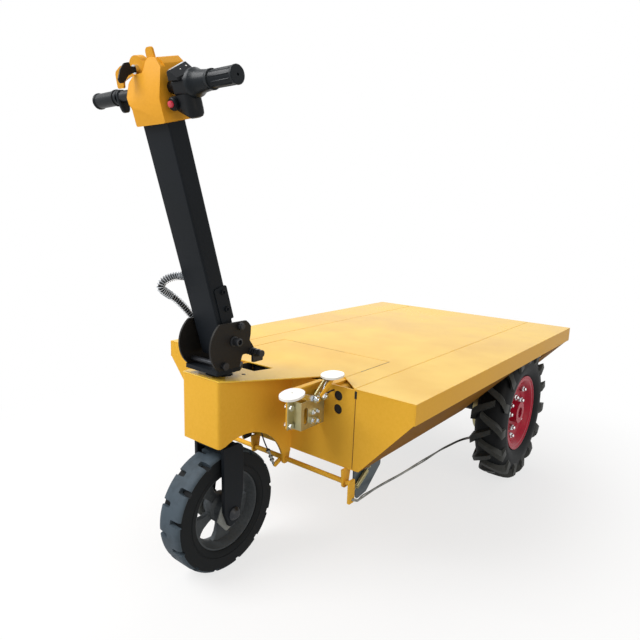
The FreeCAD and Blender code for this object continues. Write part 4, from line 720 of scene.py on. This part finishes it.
def switch_box():
    """Moulded switch box that hangs from the clamp, rounded all over, its low end cut on a slant."""
    left, right, rear, front = 51, 104, -17, 13
    slant_under, slant_depth, slant_from, slant = 472, 20, 76, 0.75
    rows = []
    for s, grow in ((443.5, -7), (445.5, -2.5), (450, -0.5), (458, 0), (479, 0), (484, 0)):
        outline = rounded([(left - grow, rear - grow, 7), (left - grow, front + grow, 9),
                           (right + grow, front + grow, 16), (right + grow, rear - grow, 9)], 6)
        tilt = max(0, slant_under - s) / slant_depth
        rows.append([column(x, n, s + tilt * max(0, slant_from - x) * slant) for x, n in outline])
    Batch().add(*rings(rows)).make("switch_box", slot_of["switch_housing"], "column", 40,
                                   instead=("switch_housing",))


def horn():
    """Ribbed seat and red button of the horn on the switch box."""
    seat, button = Batch(), Batch()
    ahead = column(0, 1, 0) - column(0, 0, 0)
    spot = column(60, 0, 472)
    seat.add(*turned([(0.012, 0.0118), (0.0145, 0.0118), (0.0148, 0.0108), (0.0158, 0.0108),
                      (0.0161, 0.0114), (0.0176, 0.0114), (0.0179, 0.0102), (0.0189, 0.0102),
                      (0.0196, 0.0092), (0.0196, 0.007)], spot, ahead, 32))
    seat.make("horn_seat", slot_of["switch_housing"], "column")
    button.add(*turned([(0.0186, 0.0056), (0.0232, 0.0056), (0.0244, 0.005), (0.025, 0.0036)], spot,
                       ahead, 24))
    button.make("horn_cap", slot_of["horn_button"], "column", instead=("horn_button",))


def rods():
    """Each brake rod is a doubled wire, a little uneven between its ends."""
    route = [(253, 169, 181), (263, 173, 180), (262, 184, 177), (257, 215, 175), (254, 272, 170),
             (256, 380, 165), (252, 480, 156), (251, 585, 153), (249, 660, 147), (253, 743, 143),
             (262, 833, 130), (262, 888, 125), (262, 923, 122)]
    wire_radius, apart, uneven, sway, bob = 0.0018, 0.0017, 0.0008, 0.0006, 0.0003
    settled = 12                         # points from an end to where the wires run free
    wires = Batch()
    for side in (1, -1):
        line = spline([chassis(side * x, y, z) for x, y, z in route], 8)
        middle = [p + Vector((0, 0, bob * math.sin(i / 2.6))) for i, p in enumerate(line)]
        for shift in (1, -1):
            wire = []
            for i, p in enumerate(middle):
                free = min(1, i / settled, (len(middle) - 1 - i) / settled)
                spread = apart + uneven * free * math.sin(i * 0.41 + shift)
                wire.append(p + Vector((sway * shift * math.sin(i * 0.23), 0, shift * spread)))
            wires.add(*swept(wire, wire_radius, 8))
    wires.make("brake_rod_wires", slot_of["brake_rods"], "chassis", 50, instead=("brake_rods",))


def cables():
    """The foot brake's pull wire with its threaded end, and the pedal gear's short wire."""
    route = [(42, 135.2, 211.4), (42, 124.6, 238), (41, 107, 270), (40, 94, 303), (39, 92, 336),
             (40, 105, 370), (42, 133, 391), (43, 166, 396)]
    line = spline([chassis(*p) for p in route], 8)
    wire, end = Batch(), Batch()
    wire.add(*swept(line, 0.0016, 8))
    wire.make("brake_cable_wire", slot_of["brake_cable"], "chassis", 50, instead=("brake_cable",))
    end_points = 10                      # points of the line that the threaded end covers
    end.add(*swept(line[:end_points], 0.0028, 10))
    for i in (2, 4, 8):
        end.add(*nut(line[i], line[i + 1] - line[i], 0.0095, 0.005))
    end.make("brake_cable_end", slot_of["brake_cable"], "chassis", 30, finishes=(finish["rod_steel"],))
    # off the CAD tube's route: it passes the bulkhead beside the upper hole, through the plate
    route = [(194, 141, 424), (194, 149, 426), (194, 160, 427), (194, 172, 425), (194, 184, 419),
             (193, 195, 411), (192, 204, 404), (191, 211, 400)]
    wire = Batch()
    wire.add(*swept(spline([chassis(*p) for p in route], 8), 0.0019, 8))
    wire.make("pedal_cable_wire", slot_of["pedal_cable"], "chassis", 50, instead=("pedal_cable",))


def pedal_arms():
    """Two flat bars that carry the upper pedal's pad, and two more nuts beside the bracket's slot."""
    half_high, thick = 4, 3
    for name, x, low, high, look in (
            ("pedal_arm_inner", 189, (104, 427), (140, 459), finish["zinc"]),
            ("pedal_arm_outer", 201, (107, 427), (151, 459), finish["yellow_paint"])):
        low, high = Vector(low), Vector(high)
        off = (high - low).orthogonal().normalized() * half_high
        bar = [tuple(p) for p in (low - off, low + off, high + off, high - off)]
        Batch().add(*prism(bar, facing_side, x, x + thick, 0.5)).make(
            name, slot_of["release_pedal"], "chassis", finishes=(look,))
    nuts = Batch()
    for y, z in ((104, 388), (118, 387.5)):
        spot = chassis(183, y, z)
        nuts.add(*nut(spot, (1, 0, 0), 0.01, 0.006))
        nuts.add(*turned([(0, 0.003), (0.009, 0.003), (0.01, 0.002)], spot, (1, 0, 0), 10))
    nuts.make("bracket_nuts", slot_of["pedal_bolts"], "chassis")


def corner_lines():
    """Dark lines of the hull's two corner joints, each with painted shade in its open top end."""
    lines = Batch()
    for side in (1, -1):
        joint = [(side * 251.2, 256), (side * 252.4, 256), (side * 254.2, 434), (side * 253, 434)]
        lines.add(*prism(joint, facing_front, 165.4, 166.2))
        # painted shade: a dark patch in the joint's open top end
        gap = [(side * 250.5, 419), (side * 256, 419), (side * 256, 436), (side * 250.5, 436)]
        lines.add(*prism(gap, facing_front, 165.2, 166.2), 1)
    lines.make("hull_joint_lines", "yellow_paint", "chassis", finishes=(seam_brown, painted_shade_and_joint_black))


def rectangle(left, right, near, far):
    """Corners of a rectangle."""
    return [(left, near), (right, near), (right, far), (left, far)]


def painted_shade_holes_and_joints():
    """Painted shade: dark discs in the bulkhead's cable holes and a dark sheet on the bulkhead inside the
    nose; a small dark disc on the nose plate; and fine dark joints of the top.
    """
    shade_and_joint_marks = Batch()
    # painted shade: dark discs where the cable holes pass through the bulkhead
    for z in (415, 384):
        shade_and_joint_marks.add(*turned([(0, 0.0001), (0, 0.0114), (0.001, 0.0114), (0.001, 0.0001)],
                           chassis(206, 168.5, z), (0, 1, 0), 24))
    nose_rise = (0, 0.085, 0.9964)       # square to the nose plate
    shade_and_joint_marks.add(*turned([(0, 0.0001), (0, 0.0045), (0.0003, 0.0045), (0.0003, 0.0001)],
                       chassis(34, 42, 455.1), nose_rise, 20))
    # painted shade: a dark sheet on the bulkhead's front, inside the nose
    shade_and_joint_marks.add(*prism(rectangle(-60, 60, 330, 436), facing_front, 164.9, 165.7))
    low, high = 440.9, 441.2             # the deck's top is at 441
    dots, dot_pitch, first_dot = 32, 6, -152
    for k in range(dots):
        x = first_dot + dot_pitch * k
        shade_and_joint_marks.add(*prism(rectangle(x, x + 2.6, 416.8, 418.4), chassis, low, high))
    shade_and_joint_marks.add(*prism(rectangle(182.8, 184.2, 286, 417), chassis, low, 441.15))
    slope, level, level_at = 0.0853, 463, -53
    shade_and_joint_marks.add(*prism(rectangle(-58, 56, -47, -46),
                      lambda a, b, depth: chassis(a, b, level - slope * (b - level_at) + depth), -0.2, 0.2))
    shade_and_joint_marks.make("painted_shade_holes_and_joints", "yellow_paint", "chassis", finishes=(painted_shade_and_joint_black,))


def painted_light_and_shade_faces():
    """Faces of CAD nodes with another finish: painted shade inside the nose, on the steering parts in it and
    under the skirts; painted light on the deck's top; painted reflections on the pedal pads.
    """
    # painted shade: the nose box's inward faces are near-black, standing in for its shaded inside
    repaint("nose_box", painted_shade_and_joint_black, lambda f: f.normal.x * f.center.x < -1e-6 or (
        f.normal.y > 0.5 and f.center.y < FRONT - 0.045))
    # painted light: the deck's top faces take the paler copy of the paint
    repaint("deck_plate", painted_light_top_paint, lambda f: f.normal.z > 0.7)
    # painted shade: the skirts' downward faces take the dark brown copy
    repaint("side_skirts", painted_shade_under_paint, lambda f: f.normal.z < -0.2)
    # painted reflection: the pedal pads' tops are painted white, as shining chrome
    pad_height = 0.017
    for name in ("brake_pedal", "release_pedal"):
        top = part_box(name)[1].z
        repaint(name, painted_reflection_white, lambda f: f.center.z > top - pad_height)
    # painted shade: the steering parts inside the nose are near-black
    for name in ("steering_head", "steering_stem"):
        nodes[name].data.materials[0] = painted_shade_and_joint_black


loom()
spring()
grips()
drive_control()
switch_box()
horn()
rods()
cables()
pedal_arms()
corner_lines()
painted_shade_holes_and_joints()
painted_light_and_shade_faces()
for name, width, segments in (
        ("head_housing", 0.0045, 4), ("deck_plate", 0.0012, 2), ("nose_plate", 0.001, 2),
        ("nose_box", 0.0012, 2), ("column_straps", 0.0006, 1), ("hinge_cheeks", 0.0008, 2),
        ("hinge_base", 0.001, 2), ("fork", 0.0012, 2), ("ignition_key", 0.0011, 2),
        ("brake_pedal", 0.0012, 2), ("release_pedal", 0.0012, 2),
        ("pedal_bracket", 0.0007, 2), ("side_skirts", 0.0008, 2), ("front_axle", 0.0008, 2),
        ("stop_screw", 0.0006, 2), ("pivot_bolt", 0.0006, 2), ("hinge_bolts", 0.0006, 2),
        ("pedal_bolts", 0.0005, 1), ("spring_bracket", 0.0008, 2), ("brake_shaft", 0.0006, 1)):
    soften(name, width, segments)


# ------------------------------------------------------------------ stage

def sight(tree):
    """1 for camera and mirror rays, 0 for the rays that light the object; and the light path's node."""
    rays = tree.nodes.new("ShaderNodeLightPath")
    seen = tree.nodes.new("ShaderNodeMath")
    seen.operation = "MAXIMUM"
    tree.links.new(rays.outputs["Is Camera Ray"], seen.inputs[0])
    tree.links.new(rays.outputs["Is Glossy Ray"], seen.inputs[1])
    return seen.outputs[0], rays


def pale_floor():
    """White floor that keeps the object's shadow near it and fades to plain white farther off."""
    mesh = bpy.data.meshes.new("floor")
    far = 40.0
    mesh.from_pydata([(-far, -far, 0), (far, -far, 0), (far, far, 0), (-far, far, 0)], [], [(0, 1, 2, 3)])
    floor = bpy.data.objects.new("floor", mesh)
    bpy.context.scene.collection.objects.link(floor)
    m = bpy.data.materials.new("floor")
    m.use_nodes = True
    tree = m.node_tree
    shader = tree.nodes["Principled BSDF"]
    shader.inputs["Roughness"].default_value = 0.9
    shader.inputs["Specular IOR Level"].default_value = 0.1
    place = tree.nodes.new("ShaderNodeTexCoord")
    length = tree.nodes.new("ShaderNodeVectorMath")
    length.operation = "LENGTH"
    tree.links.new(place.outputs["Object"], length.inputs[0])
    fade = tree.nodes.new("ShaderNodeMapRange")
    fade.interpolation_type = "SMOOTHSTEP"
    for socket, value in (("From Min", 0.5), ("From Max", 1.5), ("To Min", 0.72)):
        fade.inputs[socket].default_value = value
    tree.links.new(length.outputs["Value"], fade.inputs["Value"])
    seen, rays = sight(tree)
    amount = tree.nodes.new("ShaderNodeMath")
    amount.operation = "MULTIPLY"
    tree.links.new(seen, amount.inputs[0])
    tree.links.new(fade.outputs[0], amount.inputs[1])
    white = tree.nodes.new("ShaderNodeEmission")
    mix = tree.nodes.new("ShaderNodeMixShader")
    tree.links.new(amount.outputs[0], mix.inputs[0])
    tree.links.new(shader.outputs[0], mix.inputs[1])
    tree.links.new(white.outputs[0], mix.inputs[2])
    tree.links.new(mix.outputs[0], tree.nodes["Material Output"].inputs["Surface"])
    tone = tree.nodes.new("ShaderNodeMapRange")
    for socket, value in (("To Min", 0.8), ("To Max", 0.5)):
        tone.inputs[socket].default_value = value
    tree.links.new(rays.outputs["Is Diffuse Ray"], tone.inputs["Value"])
    tree.links.new(tone.outputs[0], shader.inputs["Base Color"])
    mesh.materials.append(m)


def sky():
    """World that looks white and lights the object softly."""
    world = bpy.data.worlds.new("world")
    bpy.context.scene.world = world
    world.use_nodes = True
    tree = world.node_tree
    plain = tree.nodes["Background"]
    bright = tree.nodes.new("ShaderNodeBackground")
    for shader, strength in ((plain, 0.45), (bright, 1.0)):
        shader.inputs["Color"].default_value = (1, 1, 1, 1)
        shader.inputs["Strength"].default_value = strength
    seen, _ = sight(tree)
    mix = tree.nodes.new("ShaderNodeMixShader")
    tree.links.new(seen, mix.inputs[0])
    tree.links.new(plain.outputs[0], mix.inputs[1])
    tree.links.new(bright.outputs[0], mix.inputs[2])
    tree.links.new(mix.outputs[0], tree.nodes["World Output"].inputs["Surface"])


def lamps():
    """Key light from the front left, a warm one from the side and one from behind: place, size, watts."""
    middle = Vector((0, 0, 0.4))
    for name, place, size, power, colour in (
            ("key", (-1.6, -2.6, 3.2), 2.4, 158, (1, 1, 1)),
            ("side", (3.4, -1.2, 1.8), 2.4, 34, (1, 0.88, 0.72)),
            ("back", (-1.2, 2.6, 3.0), 2.6, 60, (1, 1, 1))):
        data = bpy.data.lights.new(name, "AREA")
        data.energy, data.size, data.color = power, size, colour
        lamp = bpy.data.objects.new(name, data)
        bpy.context.scene.collection.objects.link(lamp)
        lamp.location = place
        lamp.rotation_mode = "QUATERNION"
        lamp.rotation_quaternion = (middle - lamp.location).to_track_quat("-Z", "Y")


def viewpoint():
    """Camera in front of the trolley's left side, a little above its head, rolled slightly."""
    data = bpy.data.cameras.new("camera")
    data.sensor_width, data.lens = 36.0, 30.57
    camera = bpy.data.objects.new("camera", data)
    bpy.context.scene.collection.objects.link(camera)
    turn, lift, roll = math.radians(38.25), math.radians(10.55), math.radians(1.84)
    place = (0.88683, FRONT - 0.77153, 0.80080)
    back = Vector((math.sin(turn) * math.cos(lift), -math.cos(turn) * math.cos(lift), math.sin(lift)))
    right = (-back).cross(Vector((0, 0, 1))).normalized()
    up = right.cross(-back)
    right, up = (math.cos(roll) * right + math.sin(roll) * up,
                 math.cos(roll) * up - math.sin(roll) * right)
    axes = Matrix((right, up, back)).transposed().to_4x4()
    camera.matrix_world = Matrix.Translation(place) @ axes
    bpy.context.scene.camera = camera
    bpy.context.scene.view_settings.view_transform = "Standard"


pale_floor()
sky()
lamps()
viewpoint()
